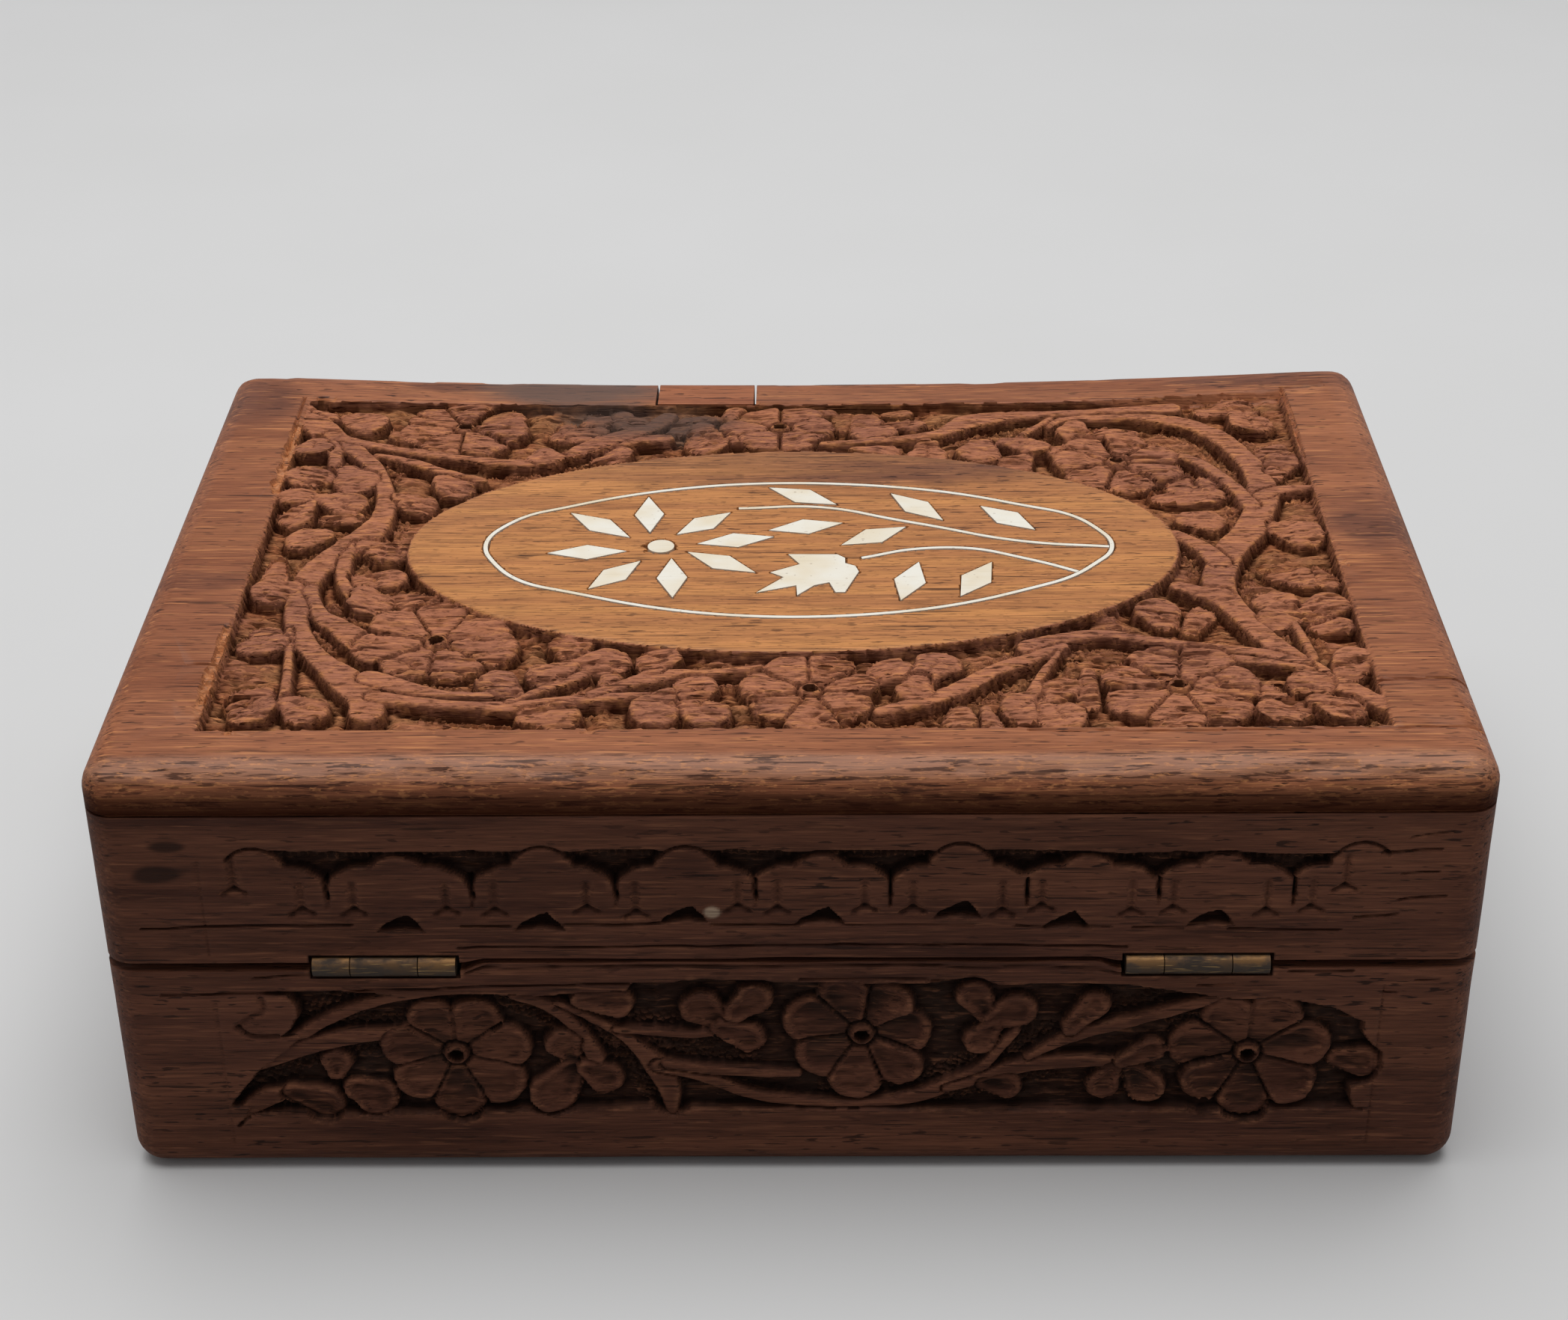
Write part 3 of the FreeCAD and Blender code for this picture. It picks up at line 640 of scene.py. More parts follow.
notch_low, notch_high = RIM_BLOCK_SIDES[0] - RIM_KERF, RIM_BLOCK_SIDES[1] + RIM_KERF
board_u = spaced(-flat_x, flat_x, BOARD_STEP, [notch_low - HAIR, notch_low, notch_high, notch_high + HAIR])
board_v = spaced(-flat_y, flat_y, BOARD_STEP, [FIELD_FAR, FIELD_FAR + HAIR])
lid = Carving(board_u, board_v, seed=11)
field_inside, oval_inside = inside_field(lid.u, lid.v), inside_oval(lid.u, lid.v)
print("lid grid", lid.u.shape)

# %% Carve the top board
LID_GROUND = dict(depth=FIELD_DEPTH, run=0.5, rough=0.22, left_over=0.45)
LEFTOVER_LEVEL = -0.5
CREASE_DEPTH, CREASED_SHARE = 0.25, 0.3
TEAR_DEPTH = 0.6
for root, tip, radius in LID_LEFTOVERS:
    lid.lobe(root, tip, radius + MOTIF_GROWTH, level=LEFTOVER_LEVEL)
for points in LID_STEMS:
    lid.stem(points)
for root, tip, radius in LID_LOBES:
    lid.lobe(root, tip, radius + MOTIF_GROWTH, crease=CREASE_DEPTH * (lid.random.random() < CREASED_SHARE))
for centre, radius, petals, first in LID_ROSETTES:
    lid.rosette(centre, radius, petals, first)
lid.clear_ground(field_inside, **LID_GROUND)
lid.tear(field_inside > 0.2, TEAR_DEPTH)
print("carved field, lowest", round(lid.height.min(), 2))

# %% Wear, pockets and the notch of the rim block
SKIN = 0.06
POCKET_ROOM, POCKET_DEPTH = 0.1, 0.6
MEDALLION_DROP = 0.04
HOLLOW, HOLLOW_FROM, HOLLOW_OVER, HOLLOW_HALF = 1.9, 27, 24, 71
EDGE_ROLL, EDGE_ROLL_WIDTH = 0.2, 0.6
EDGE_CHIP, CHIP_OFFSET, CHIP_SOFT = 0.5, 0.4, 0.35
CHIP_WIDTH, CHIP_SPREAD, CLEAR_OF_OVAL = 0.7, 0.35, 2
TORN_BIAS, TORN_SOFT, TORN_SIDE, TORN_LESS = 0.1, 0.4, 4, 0.75
LID_WAVER = 0.12


def rim_hollow(u, v):
    """How far the worn front rim lies below the flat: deepest in the middle, nothing near the ends."""
    return HOLLOW * ease((v - HOLLOW_FROM) / HOLLOW_OVER) * np.clip(1 - (u / HOLLOW_HALF) ** 2, 0, 1)


edge_wander = field_inside + lid.splinter
outside_field = edge_wander <= 0
lid.height -= EDGE_ROLL * np.clip(1 + edge_wander / EDGE_ROLL_WIDTH, 0, 1) ** 2 * outside_field
torn = uneven(lid.u, lid.v, 2.4, 5.5, 17) + TORN_BIAS - TORN_LESS * (lid.u > FIELD_LEFT + TORN_SIDE)
chip_width = CHIP_WIDTH + CHIP_SPREAD * uneven(lid.u, lid.v, 0.9, 1.3, 19)
chips = ease(torn / TORN_SOFT) * ease((chip_width - np.abs(edge_wander + CHIP_OFFSET)) / CHIP_SOFT)
chips *= oval_inside < -CLEAR_OF_OVAL
lid.height -= EDGE_CHIP * chips * outside_field * (1 + uneven(lid.u, lid.v, 0.8, 0.5, 18))
for points, depth, half_width in LID_SCORES:
    lid.score(points, depth, half_width, waver=LID_WAVER)
in_pocket = inlay_distance(lid) > -POCKET_ROOM
lid.height -= MEDALLION_DROP * (oval_inside > 0)
lid.height = np.where(in_pocket, -POCKET_DEPTH, lid.height)
lid.height -= rim_hollow(lid.u, lid.v) + HAIR
in_notch = (lid.u >= notch_low) & (lid.u <= notch_high) & (lid.v >= FIELD_FAR + HAIR)
lid.height = np.where(in_notch, SKIN - (TOP_Z - BOARD_Z), lid.height)
print("pocket places", int(in_pocket.sum()), "notch places", int(in_notch.sum()))


# %% Values that the finish needs
FULL_SLOPE, SLOPE_FROM = 3, 0.15
PAINTED_SHADE_DEPTH = 0.5


def above_mean(relief, spread=3):
    """How far a place stands above the mean of its neighbours: high on crisp ridges, low in cuts."""
    mean = relief.height
    width = 2 * spread + 1
    for axis in (0, 1):
        padded = np.pad(mean, [(spread, spread) if a == axis else (0, 0) for a in (0, 1)], mode="edge")
        total = np.cumsum(np.insert(padded, 0, 0, axis=axis), axis=axis)
        mean = (np.take(total, range(width, total.shape[axis]), axis)
                - np.take(total, range(total.shape[axis] - width), axis)) / width
    return relief.height - mean


def steepness(relief):
    """0 on level wood and 1 where the face drops as fast as a wall cut with a chisel."""
    slope_v, slope_u = np.gradient(relief.height, relief.up, relief.across)
    return np.clip(np.hypot(slope_u, slope_v) / FULL_SLOPE - SLOPE_FROM, 0, 1)


def carving_values(relief, depth, ridge, steep, within=1.0):
    """From 0 to 1: carved depth, a ridge (raw wood and painted highlight), painted shade in cuts and on steep
    walls.
    """
    above = above_mean(relief)
    values = {
        "carved": np.clip(-relief.height / depth, 0, 1), "ridge": np.clip(above / ridge, 0, 1),
        # Painted shade: full in cuts that lie well below their neighbours and on steep walls.
        "painted_crevice_shade": np.maximum(np.clip(-above / PAINTED_SHADE_DEPTH, 0, 1), steep * steepness(relief)),
    }
    return {title: value * within for title, value in values.items()}


lid_values = carving_values(lid, FIELD_DEPTH, ridge=0.45, steep=0.85, within=edge_wander > 0)
lid_values.update(chip=chips, glue=in_pocket * 1.0)
print("lid values:", ", ".join(lid_values))


# %% Edge of the top board
EDGE_TURNS = 9
EDGE_WEAR = 0.35
FACES_FRONT = 0.99
EDGE_SHADE_FROM = 6.4
lean_angles = np.linspace(0, np.pi / 2, EDGE_TURNS)


def outline_directions(rows, columns):
    """For each place of the border its row, its column and the plan direction away from the sheet.

    A corner is repeated with directions that turn through a right angle, so that the edge goes round it.
    """
    places, turns = [], []
    sides = [
        (np.zeros(columns, int), np.arange(columns), -np.pi / 2),
        (np.arange(rows), np.full(rows, columns - 1), 0),
        (np.full(columns, rows - 1), np.arange(columns)[::-1], np.pi / 2),
        (np.arange(rows)[::-1], np.zeros(rows, int), np.pi),
    ]
    for row, column, turn in sides:
        places.append(np.stack([row, column], 1))
        turns.append(np.full(len(row), turn))
        places.append(np.repeat([[row[-1], column[-1]]], EDGE_TURNS - 2, axis=0))
        turns.append(turn + lean_angles[1:-1])
    places, turns = np.concatenate(places), np.concatenate(turns)
    return places[:, 0], places[:, 1], np.stack([np.cos(turns), np.sin(turns)], 1)


row, column, away = outline_directions(*lid.u.shape)
edge_u, edge_v, edge_height = lid.u[row, column], lid.v[row, column], lid.height[row, column]
notched = (edge_u >= notch_low) & (edge_u <= notch_high) & (away[:, 1] > FACES_FRONT)
rings = []
for lean in lean_angles:
    out, drop = EDGE_RADIUS * np.sin(lean), EDGE_RADIUS * (1 - np.cos(lean))
    left = 1 - drop / (TOP_Z - BOARD_Z)
    groove = ease(2 * uneven(edge_u, np.full(len(row), lean * EDGE_RADIUS), 6.5, 0.75, 23))
    groove *= EDGE_WEAR * np.sin(2 * lean) * np.abs(away[:, 1])
    z = TOP_Z - drop - groove * np.cos(lean) + np.where(notched, 0, edge_height) * left
    rings.append((out - groove * np.sin(lean), z))
rings.append((EDGE_RADIUS, np.full(len(row), BOARD_Z + SEAM_EASE)))
rings.append((EDGE_RADIUS - SEAM_EASE, np.full(len(row), BOARD_Z)))
print(len(rings), "rings of", len(row), "points round the board")

# %% Close the top board
MOST_TRIANGLES = 188000
board = Shell()
board.sheet(np.stack([-lid.u, -lid.v, TOP_Z + lid.height], axis=-1), lid_values)
ring_grid = np.stack([
    np.stack([-(edge_u + out * away[:, 0]), -(edge_v + out * away[:, 1]),
              np.where(notched, np.minimum(z, BOARD_Z + SKIN), z)], axis=-1)
    for out, z in rings
])
# Painted shade: a mask that grows from the middle of the quarter round to the foot, later mixed to the
# darkest tone.
painted_edge_shade = ease((np.arange(len(rings)) - EDGE_SHADE_FROM) / (EDGE_TURNS - EDGE_SHADE_FROM))
board.sheet(ring_grid, {"painted_edge_shade": np.broadcast_to(painted_edge_shade[:, None], ring_grid.shape[:2])}, closed=True)
board.plate(ring_grid[-1])
make_piece("carved_top_board", board, "lid", "lid_wood", ["lid_top_board"], MOST_TRIANGLES)

# %% [markdown]
# ## The rim block
# A block of redder wood fills a gap in the front rim. It has the rim's own section, so its profile is the
# rim's quarter round carried across the block, lowered by the same worn hollow.

# %% The rim block
BLOCK_SECTIONS, FLAT_POINTS = 30, 16


def rim_profile(u):
    """The section of the rim at u as v and z: inner face, flat, quarter round, side, eased foot."""
    flat_v = np.linspace(FIELD_FAR + 2 * HAIR, flat_y, FLAT_POINTS)
    hollow = rim_hollow(u, np.concatenate([flat_v, np.full(EDGE_TURNS, flat_y)]))
    v = np.concatenate([flat_v, flat_y + EDGE_RADIUS * np.sin(lean_angles)])
    drop = np.concatenate([np.zeros(FLAT_POINTS), EDGE_RADIUS * (1 - np.cos(lean_angles))])
    z = TOP_Z - drop - hollow * (1 - drop / (TOP_Z - BOARD_Z))
    v = np.concatenate([[flat_v[0]], v, [HALF_Y, HALF_Y - SEAM_EASE]])
    z = np.concatenate([[BOARD_Z + SKIN], z, [BOARD_Z + SEAM_EASE, BOARD_Z + SKIN]])
    return np.stack([np.full(len(v), -u), -v, z], -1)


block_grid = np.stack([rim_profile(u) for u in np.linspace(*RIM_BLOCK_SIDES, BLOCK_SECTIONS)])
block = Shell()
block.sheet(block_grid, closed=True)
block.plate(block_grid[0])
block.plate(block_grid[-1])
make_piece("front_rim_insert", block, "lid", "red_wood", ["front_rim_block"])

# %% [markdown]
# ## The walls
# A wall's carved sheet follows the outside of the box in plan, round the corners of a long wall to the lap
# where the short wall begins, and curls under at the foot. Flat plates close its rim, its underside and the
# lap behind it.

# %% Layout of the base's walls
BASE_GROUND = [
    (-63.6, 6.1), (-61.4, 7.9), (-59.4, 8.2), (-55.4, 8.2), (-54.6, 7.2), (-53.2, 6.8), (-51.8, 7.2),
    (-51, 8.2), (-49.4, 8.1), (-47.5, 7.4), (-45.4, 8.2), (-40, 8.2), (-39.1, 7.2), (-37.6, 6.8),
    (-36, 7.2), (-35, 8.2), (-29.8, 8.6), (-27, 7.7), (-24.4, 8.6), (-16, 9), (-13.5, 7.7), (-11.4, 8.8),
    (20.4, 8.5), (34, 8.3), (44.6, 8.5), (46.4, 7.7), (48.6, 8.2), (49.8, 7.1), (51.5, 6.6), (53.2, 7.1),
    (54.2, 8.5), (63.6, 8.6), (63, 11.6), (65.4, 12.3), (66.5, 14.6), (66.2, 16.6), (64.6, 18.2),
    (63.9, 19.4), (63.9, 20.8), (62.4, 21.7), (60.2, 22.9), (58, 23.5), (54, 24.3), (50, 24), (46.2, 24.6),
    (42, 25.4), (36, 26.3), (27.6, 26.3), (22.6, 26.4), (20.4, 26.9), (15.4, 26.4), (0, 26.7), (-10, 26.9),
    (-17.6, 26.6), (-18.2, 25.5), (-24, 25.3), (-29, 24.8), (-34, 25.3), (-43.4, 25), (-46.8, 25.4),
    (-57, 25.7), (-59.4, 25.3), (-56.2, 25), (-55.2, 23.8), (-55, 22.2), (-56, 20.4), (-57.4, 19.2),
    (-55, 19.3), (-56.8, 17.3), (-60.4, 14.2), (-64.1, 9.2), (-61.6, 9.2),
]
BASE_STEMS = [
    [(-57.6, 18.3, 0.7), (-55.4, 19, 0.8), (-52.6, 20.9, 0.75), (-49.3, 22.7, 0.75), (-46, 24, 0.7),
     (-42, 24.9, 0.6), (-36, 25.5, 0.5)],
    [(-60.5, 15.4, 1.3), (-57, 16.6, 1.2), (-53.5, 17.9, 1.1), (-50, 18.8, 1.15), (-46.5, 19.3, 0.9),
     (-44, 19.5, 0.6)],
    [(-64.6, 6.6, 0.5), (-62.6, 8.2, 0.9), (-60, 10.1, 1.25), (-58, 10.8, 1)],
    [(-31, 24.6, 0.5), (-28, 23.8, 0.8), (-25.8, 22.2, 0.8), (-24, 20, 0.8), (-22.8, 17.8, 0.95),
     (-22, 15.8, 1)],
    [(-26, 23.6, 0.4), (-22, 21.3, 0.6), (-19, 19.2, 0.7), (-16.8, 16.8, 1), (-15, 14.2, 1.5),
     (-13.9, 11.4, 1.3), (-13.6, 8.4, 0.7)],
    [(-15, 14.8, 1), (-11, 13.6, 0.9), (-8, 12.2, 0.8), (-4.6, 10.6, 0.7), (0, 9.7, 0.65), (5, 9.2, 0.6),
     (10, 9.4, 0.65), (14.5, 10.4, 0.9), (18, 12, 1), (20.6, 13.6, 0.8), (22.6, 15.8, 0.6),
     (24.2, 18.2, 0.6), (25.2, 19.4, 0.5)],
    [(-14, 15, 0.7), (-9, 14.1, 0.65), (-4, 13.7, 0.6), (0.8, 13.4, 0.4)],
    [(-19.6, 19.9, 0.5), (-15, 19.5, 0.55), (-11, 19.1, 0.5), (-8, 19.6, 0.6)],
    [(17.5, 11.4, 0.6), (21, 12.6, 0.8), (25, 14.2, 1), (29, 15, 1), (33, 15.2, 0.9), (37, 15, 0.6)],
    [(26.6, 15.8, 0.5), (30, 17.9, 0.7), (34, 19.6, 0.8), (38, 20.8, 0.8), (42, 22.1, 0.8),
     (46, 23.5, 0.7), (50, 24.4, 0.5), (55, 24.8, 0.4)],
]
BASE_LOBES = [
    ((-60.4, 21), (-57.3, 22.6), 2.3), ((-56.6, 10.8), (-53.3, 9.6), 2.4),
    ((-49.4, 11.4), (-47.3, 10.2), 2.5), ((-51.6, 13.6), (-51.4, 15.2), 1.8),
    ((-23.4, 24.2), (-19.4, 23.6), 1.9), ((-25, 15.9), (-25.6, 17.7), 2.2),
    ((-24.8, 13.8), (-27, 10.9), 2.8), ((-23, 14.2), (-21.2, 12.8), 2.2), ((-8.2, 20.8), (-10, 22.6), 2.4),
    ((-6.2, 22), (-4.2, 23.9), 2.2), ((-7.8, 19.8), (-4.9, 18.4), 2), ((21.8, 21.6), (20.4, 24.2), 2),
    ((22.8, 20.8), (25.2, 22.2), 2.3), ((22.6, 19.8), (21.2, 18.1), 1.9), ((21.8, 11.8), (24.2, 11.6), 1.8),
    ((31.2, 20), (33.9, 23), 1.7), ((36.2, 13.8), (35.2, 11.6), 1.9), ((38.6, 13.2), (40, 11.4), 2.3),
    ((37.2, 15.2), (40.4, 16.6), 1.7), ((61.6, 15.2), (64.2, 14.9), 2.1),
]
BASE_ROSETTES = [((-37.8, 16.2), 8.8, 7, -90), ((7.9, 18.8), 8.6, 7, -97), ((51.3, 16), 8.9, 7, -90)]
SIDE_GROUND = [
    (-38, 7.6), (-30, 8.6), (0, 8.2), (30, 8.6), (38.5, 8), (39.5, 15), (37, 21.5), (30, 24.8), (12, 26.2),
    (-10, 26.4), (-28, 25.2), (-36, 22), (-39.5, 15),
]
SIDE_STEMS = [
    [(-39.2, 8.2, 0.5), (-36.4, 12.6, 1), (-31.5, 17.6, 0.9), (-25, 21.4, 0.8), (-17, 24, 0.7),
     (-8, 25.6, 0.4)],
    [(-27.5, 20, 0.4), (-21.5, 18.8, 0.7), (-16.8, 15.6, 1), (-14.6, 12, 1.2), (-13.4, 8.6, 0.6)],
    [(-20, 18.4, 0.4), (-15.4, 19.2, 0.6), (-11.5, 21.6, 0.4)],
    [(39, 8.6, 0.5), (36, 13.2, 1), (31, 18.4, 0.9), (24, 22, 0.8), (16, 24.2, 0.7), (8, 25.6, 0.4)],
    [(27, 20.6, 0.4), (21.4, 18.6, 0.7), (17.2, 15, 1), (15, 11.6, 1.2), (14.2, 8.6, 0.6)],
    [(19.6, 17.8, 0.4), (15.2, 19.4, 0.6), (11.8, 21.8, 0.4)],
]
SIDE_LOBES = [
    ((-25.6, 13.6), (-28.6, 11.2), 2.3), ((-24.4, 13), (-21.4, 10.9), 2.3),
    ((-25.2, 14.6), (-24, 16.8), 1.8), ((-34.4, 12), (-33, 10), 1.6), ((-17.8, 21.6), (-15.2, 22.2), 1.4),
    ((-31.8, 20.8), (-33.4, 22), 1.3), ((25.8, 13.4), (28.6, 10.8), 2.3), ((24.6, 13), (21.8, 11), 2.2),
    ((25.4, 14.6), (24.2, 17), 1.8), ((34.2, 12.2), (32.8, 10.2), 1.6), ((17.8, 21.6), (15, 22), 1.4),
    ((31.4, 21.2), (33, 21.8), 1.3),
]
SIDE_ROSETTES = [((0.4, 16.6), 8.6, 7, -90)]
print(len(BASE_STEMS), "stems on a long wall of the base,", len(SIDE_STEMS), "on a short one")

# %% Carve the ground of the base's walls
BASE_DESIGN = BASE_GROUND, BASE_STEMS, BASE_LOBES, BASE_ROSETTES
SIDE_DESIGN = SIDE_GROUND, SIDE_STEMS, SIDE_LOBES, SIDE_ROSETTES
WALL_GROUND = dict(depth=1.8, run=0.35, rough=0.2, left_over=0.2)
PETAL_DISH, PETAL_SLIM = 0.45, 0.85


def carve_ground(relief, ground, stems, lobes, rosettes):
    """Sinks the ground inside its outline and leaves stems, lobes and rosettes standing in it."""
    inside = inside_polygon(relief.u, relief.v, ground)
    for points in stems:
        relief.stem(points)
    for root, tip, radius in lobes:
        relief.lobe(root, tip, radius, dish=PETAL_DISH)
    for centre, radius, petals, first in rosettes:
        relief.rosette(centre, radius, petals, first, dish=PETAL_DISH, slim=PETAL_SLIM)
    relief.clear_ground(inside, **WALL_GROUND)


print("wall layouts:", len(BASE_LOBES), "lobes on a long wall,", len(SIDE_LOBES), "on a short wall")

# %% The band of half flowers on the lid's walls
BAND_LINE, BAND_SLOPE = 44.2, -0.006
BAND_GROUND = dict(depth=1.5, run=0.35, rough=0.22, left_over=0.1)
LOBE_RADIUS = 3.45
SHOULDER_RISE, SHOULDER_RADIUS, SHOULDER_ASIDE = 37.4, 4.7, 3.6
CUSP_FOOT, CREASE_ASIDE = 39.0, 5.1
BAND_FLOWERS = [
    (-58, 44.7), (-42.6, 43.7), (-26.8, 44.8), (-11.2, 44.8), (3.4, 43.7), (18.5, 45.1), (32.3, 43.6),
    (47, 43.6), (61.7, 45),
]
BAND_CHIPS = [
    (-42.7, 33.6), (-27.4, 33.8), (-11.6, 34.7), (3.3, 34.5), (18.3, 35.2), (30.1, 33.8), (45.9, 34.1),
]
BAND_FORKS = [(-60.4, 39.2), (60.1, 39.2)]
SIDE_BAND_FLOWERS = [(-38.6, 44.4), (-23.2, 44.6), (-7.8, 43.8), (7.6, 44.7), (22.9, 43.9), (38.4, 44.6)]
SIDE_BAND_CHIPS = [(-23.4, 34.2), (-7.6, 33.8), (7.8, 34.4), (22.7, 33.9)]
BAND = BAND_FLOWERS, BAND_CHIPS, BAND_FORKS
SIDE_BAND = SIDE_BAND_FLOWERS, SIDE_BAND_CHIPS, []
CHIP_OUTLINE = np.array([(-2.9, -0.1), (-2, 0.9), (-0.2, 2), (0.9, 2.4), (1.5, 1.7), (2.9, -0.1), (0.2, 0.2)])
CHIP_SLOPE, CHIP_DEPTH = 5, 1.6
BAND_CUTS = [([(0.1, 40.4), (0, 39.4), (0.1, 38.2)], 1.1, 0.25), ([(0.1, 38.6), (0, 37)], 0.5, 0.2)]
CREASE_TOP, CREASE_FOOT, FORK_LENGTH = 40, 36.2, 4
CUT_STRAY, CREASE_STRAY, FOOT_STRAY = (-0.3, 0.3), (-0.5, 0.5), (-0.3, 0.5)
CREASE_CUT, ARC_CUT, NICK_CUT = (0.36, 0.7), (0.6, 0.28), (0.5, 0.5)
NICK = [(-1.2, -0.4), (0, 0.2), (1.2, -0.3)]
ARC_FROM, ARC_POINTS = 0.6, 7
LINE_WAVER, GOUGE_FROM, GOUGE_OVER = 0.3, 2, 1.2
CHIP_RAGGED, CHIP_FOOT, CHIP_FOOT_OVER = 0.12, 0.4, 1.1


def arrow_mark(relief, u, foot, top):
    """A shallow crease down the middle of a petal that ends in a small two-sided nick."""
    relief.score([(u, top), (u, (top + foot) / 2), (u, foot)], *CREASE_CUT)
    relief.score([(u + aside, foot + rise) for aside, rise in NICK], *NICK_CUT)


def sink_corners(relief, flowers):
    """Sinks the corners between half flowers of three circles each.

    A corner lies below one line and outside every circle, with gouge marks along its upper edge.
    """
    u, v = relief.u, relief.v
    circles = np.full(u.shape, -np.inf)
    for middle, top in flowers:
        circles = np.maximum(circles, LOBE_RADIUS - np.hypot(u - middle, v - top + LOBE_RADIUS))
        for aside in (-SHOULDER_ASIDE, SHOULDER_ASIDE):
            circles = np.maximum(circles, SHOULDER_RADIUS - np.hypot(u - middle - aside, v - SHOULDER_RISE))
    line = BAND_LINE + BAND_SLOPE * u + LINE_WAVER * uneven(u, v * 0, 6, 1, relief.seed + 7)
    between = np.minimum(u - flowers[0][0], flowers[-1][0] - u)
    corner = np.minimum(np.minimum(line - v, -circles), np.minimum(between, v - CUSP_FOOT))
    gouge = np.sin(2 * np.pi * u / CHATTER_PITCH + 2 * uneven(u, v * 0, 3, 1, relief.seed + 11))
    relief.ladder = np.clip(gouge, 0, 1) * ease((v - line + GOUGE_FROM) / GOUGE_OVER)
    relief.nearest = circles
    relief.clear_ground(corner, **BAND_GROUND)


def carve_band(relief, flowers, chips, forks):
    """Half flowers in a row, a cut down between two of them, creases in their petals and chips below."""
    sink_corners(relief, flowers)
    arc = np.linspace(ARC_FROM, np.pi - ARC_FROM, ARC_POINTS)
    for (left, _), (right, _) in zip(flowers, flowers[1:]):
        middle = (left + right) / 2 + relief.random.uniform(*CUT_STRAY)
        for points, depth, half_width in BAND_CUTS:
            relief.score([(middle + aside, v) for aside, v in points], depth, half_width)
    for middle, top in flowers:
        over = middle + LOBE_RADIUS * np.cos(arc), top - LOBE_RADIUS + LOBE_RADIUS * np.sin(arc)
        relief.score(np.stack(over, 1), *ARC_CUT)
        for place in (middle - CREASE_ASIDE, middle + CREASE_ASIDE):
            if flowers[0][0] < place < flowers[-1][0]:
                place += relief.random.uniform(*CREASE_STRAY)
                arrow_mark(relief, place, CREASE_FOOT + relief.random.uniform(*FOOT_STRAY), CREASE_TOP)
    for place in chips:
        outline = [tuple(corner) for corner in CHIP_OUTLINE + place]
        inside = inside_polygon(relief.u, relief.v, outline)
        inside = inside + CHIP_RAGGED * uneven(relief.u, relief.v, 1.1, 1.1, relief.seed + 8)
        flat_foot = CHIP_FOOT + (1 - CHIP_FOOT) * ease((relief.v - place[1]) / CHIP_FOOT_OVER)
        relief.height -= np.clip(inside * CHIP_SLOPE, 0, CHIP_DEPTH) * flat_foot
    for place, foot in forks:
        arrow_mark(relief, place, foot, foot + FORK_LENGTH)


print("band:", len(BAND_FLOWERS), "half flowers on a long wall,", len(SIDE_BAND_FLOWERS), "on a short wall")

# %% [markdown]
# ## Walls as closed sections
# Each wall is one closed section carried along its plan: up the carved face, back over the rim, down the
# inner face and round the rebate that holds the bottom board. A long wall's plan turns round both corners
# and ends at the lap of the short wall. Wood that has moved with age shows at the back, where both rims bow
# upwards between the hinges.

# %% Plans of the walls
WALL_STEP, ROW_STEP = 0.26, 0.21
REBATE = 3
SEAT_X, SEAT_Y = INNER_X + REBATE, INNER_Y + REBATE
LONG_SIDES = "back", "front"


class WallPlan:
    """A wall's outer face in plan, from its left end to its right end as seen from outside.

    along counts millimetres along the face, across and out give the place, turn_u and turn_out the way it
    faces, inner and seat how far out the inner face and the rebate of the bottom board are.
    """

    def __init__(self, across, out, turns, inner, seat):
        self.across, self.out, self.inner, self.seat = across, out, inner, seat
        self.turn_u, self.turn_out = np.sin(turns), np.cos(turns)
        steps = np.hypot(np.diff(across), np.diff(out))
        self.along = np.concatenate([[0], np.cumsum(steps)])
        self.along -= self.along[-1] / 2


def long_plan(extra):
    """Face, two corner arcs and two short returns that end at the laps."""
    jumps = [-INNER_X - HAIR, -INNER_X, INNER_X, INNER_X + HAIR]
    face = spaced(-flat_x, flat_x, WALL_STEP, jumps + extra)
    fan = lean_angles[1:]
    end_across = np.append(flat_x + EDGE_RADIUS * np.sin(fan), HALF_X)
    end_out = np.append(flat_y + EDGE_RADIUS * np.cos(fan), LAP_Y)
    end_turns = np.append(fan, np.pi / 2)
    across = np.concatenate([-end_across[::-1], face, end_across])
    out = np.concatenate([end_out[::-1], np.full(len(face), HALF_Y), end_out])
    turns = np.concatenate([-end_turns[::-1], np.zeros(len(face)), end_turns])
    between = np.abs(across) <= INNER_X
    return WallPlan(across, out, turns, np.where(between, INNER_Y, LAP_Y), np.where(between, SEAT_Y, LAP_Y))


def short_plan():
    """A straight face between two laps."""
    face = spaced(-LAP_Y, LAP_Y, WALL_STEP, [-SEAT_Y - HAIR, -SEAT_Y, SEAT_Y, SEAT_Y + HAIR])
    level = np.ones(len(face))
    seat = np.where(np.abs(face) <= SEAT_Y, SEAT_X, INNER_X)
    return WallPlan(face, HALF_X * level, 0 * level, INNER_X * level, seat)


print("places along a long wall", len(long_plan([]).along), "and along a short wall", len(short_plan().along))


# %% Walls from their plans
SIDE_TURNS = {
    "back": ((-1, 0), (0, 1)), "front": ((1, 0), (0, -1)),
    "right": ((0, 1), (1, 0)), "left": ((0, -1), (-1, 0)),
}
CARVED_DEPTH = {"base": 1.6, "lid": 1.0}


def stand(side, across, out, z):
    """The box's X, Y and Z of places across a wall, out from the middle of the box and up."""
    (a, b), (c, d) = SIDE_TURNS[side]
    return np.stack(np.broadcast_arrays(a * across + b * out, c * across + d * out, z), axis=-1)


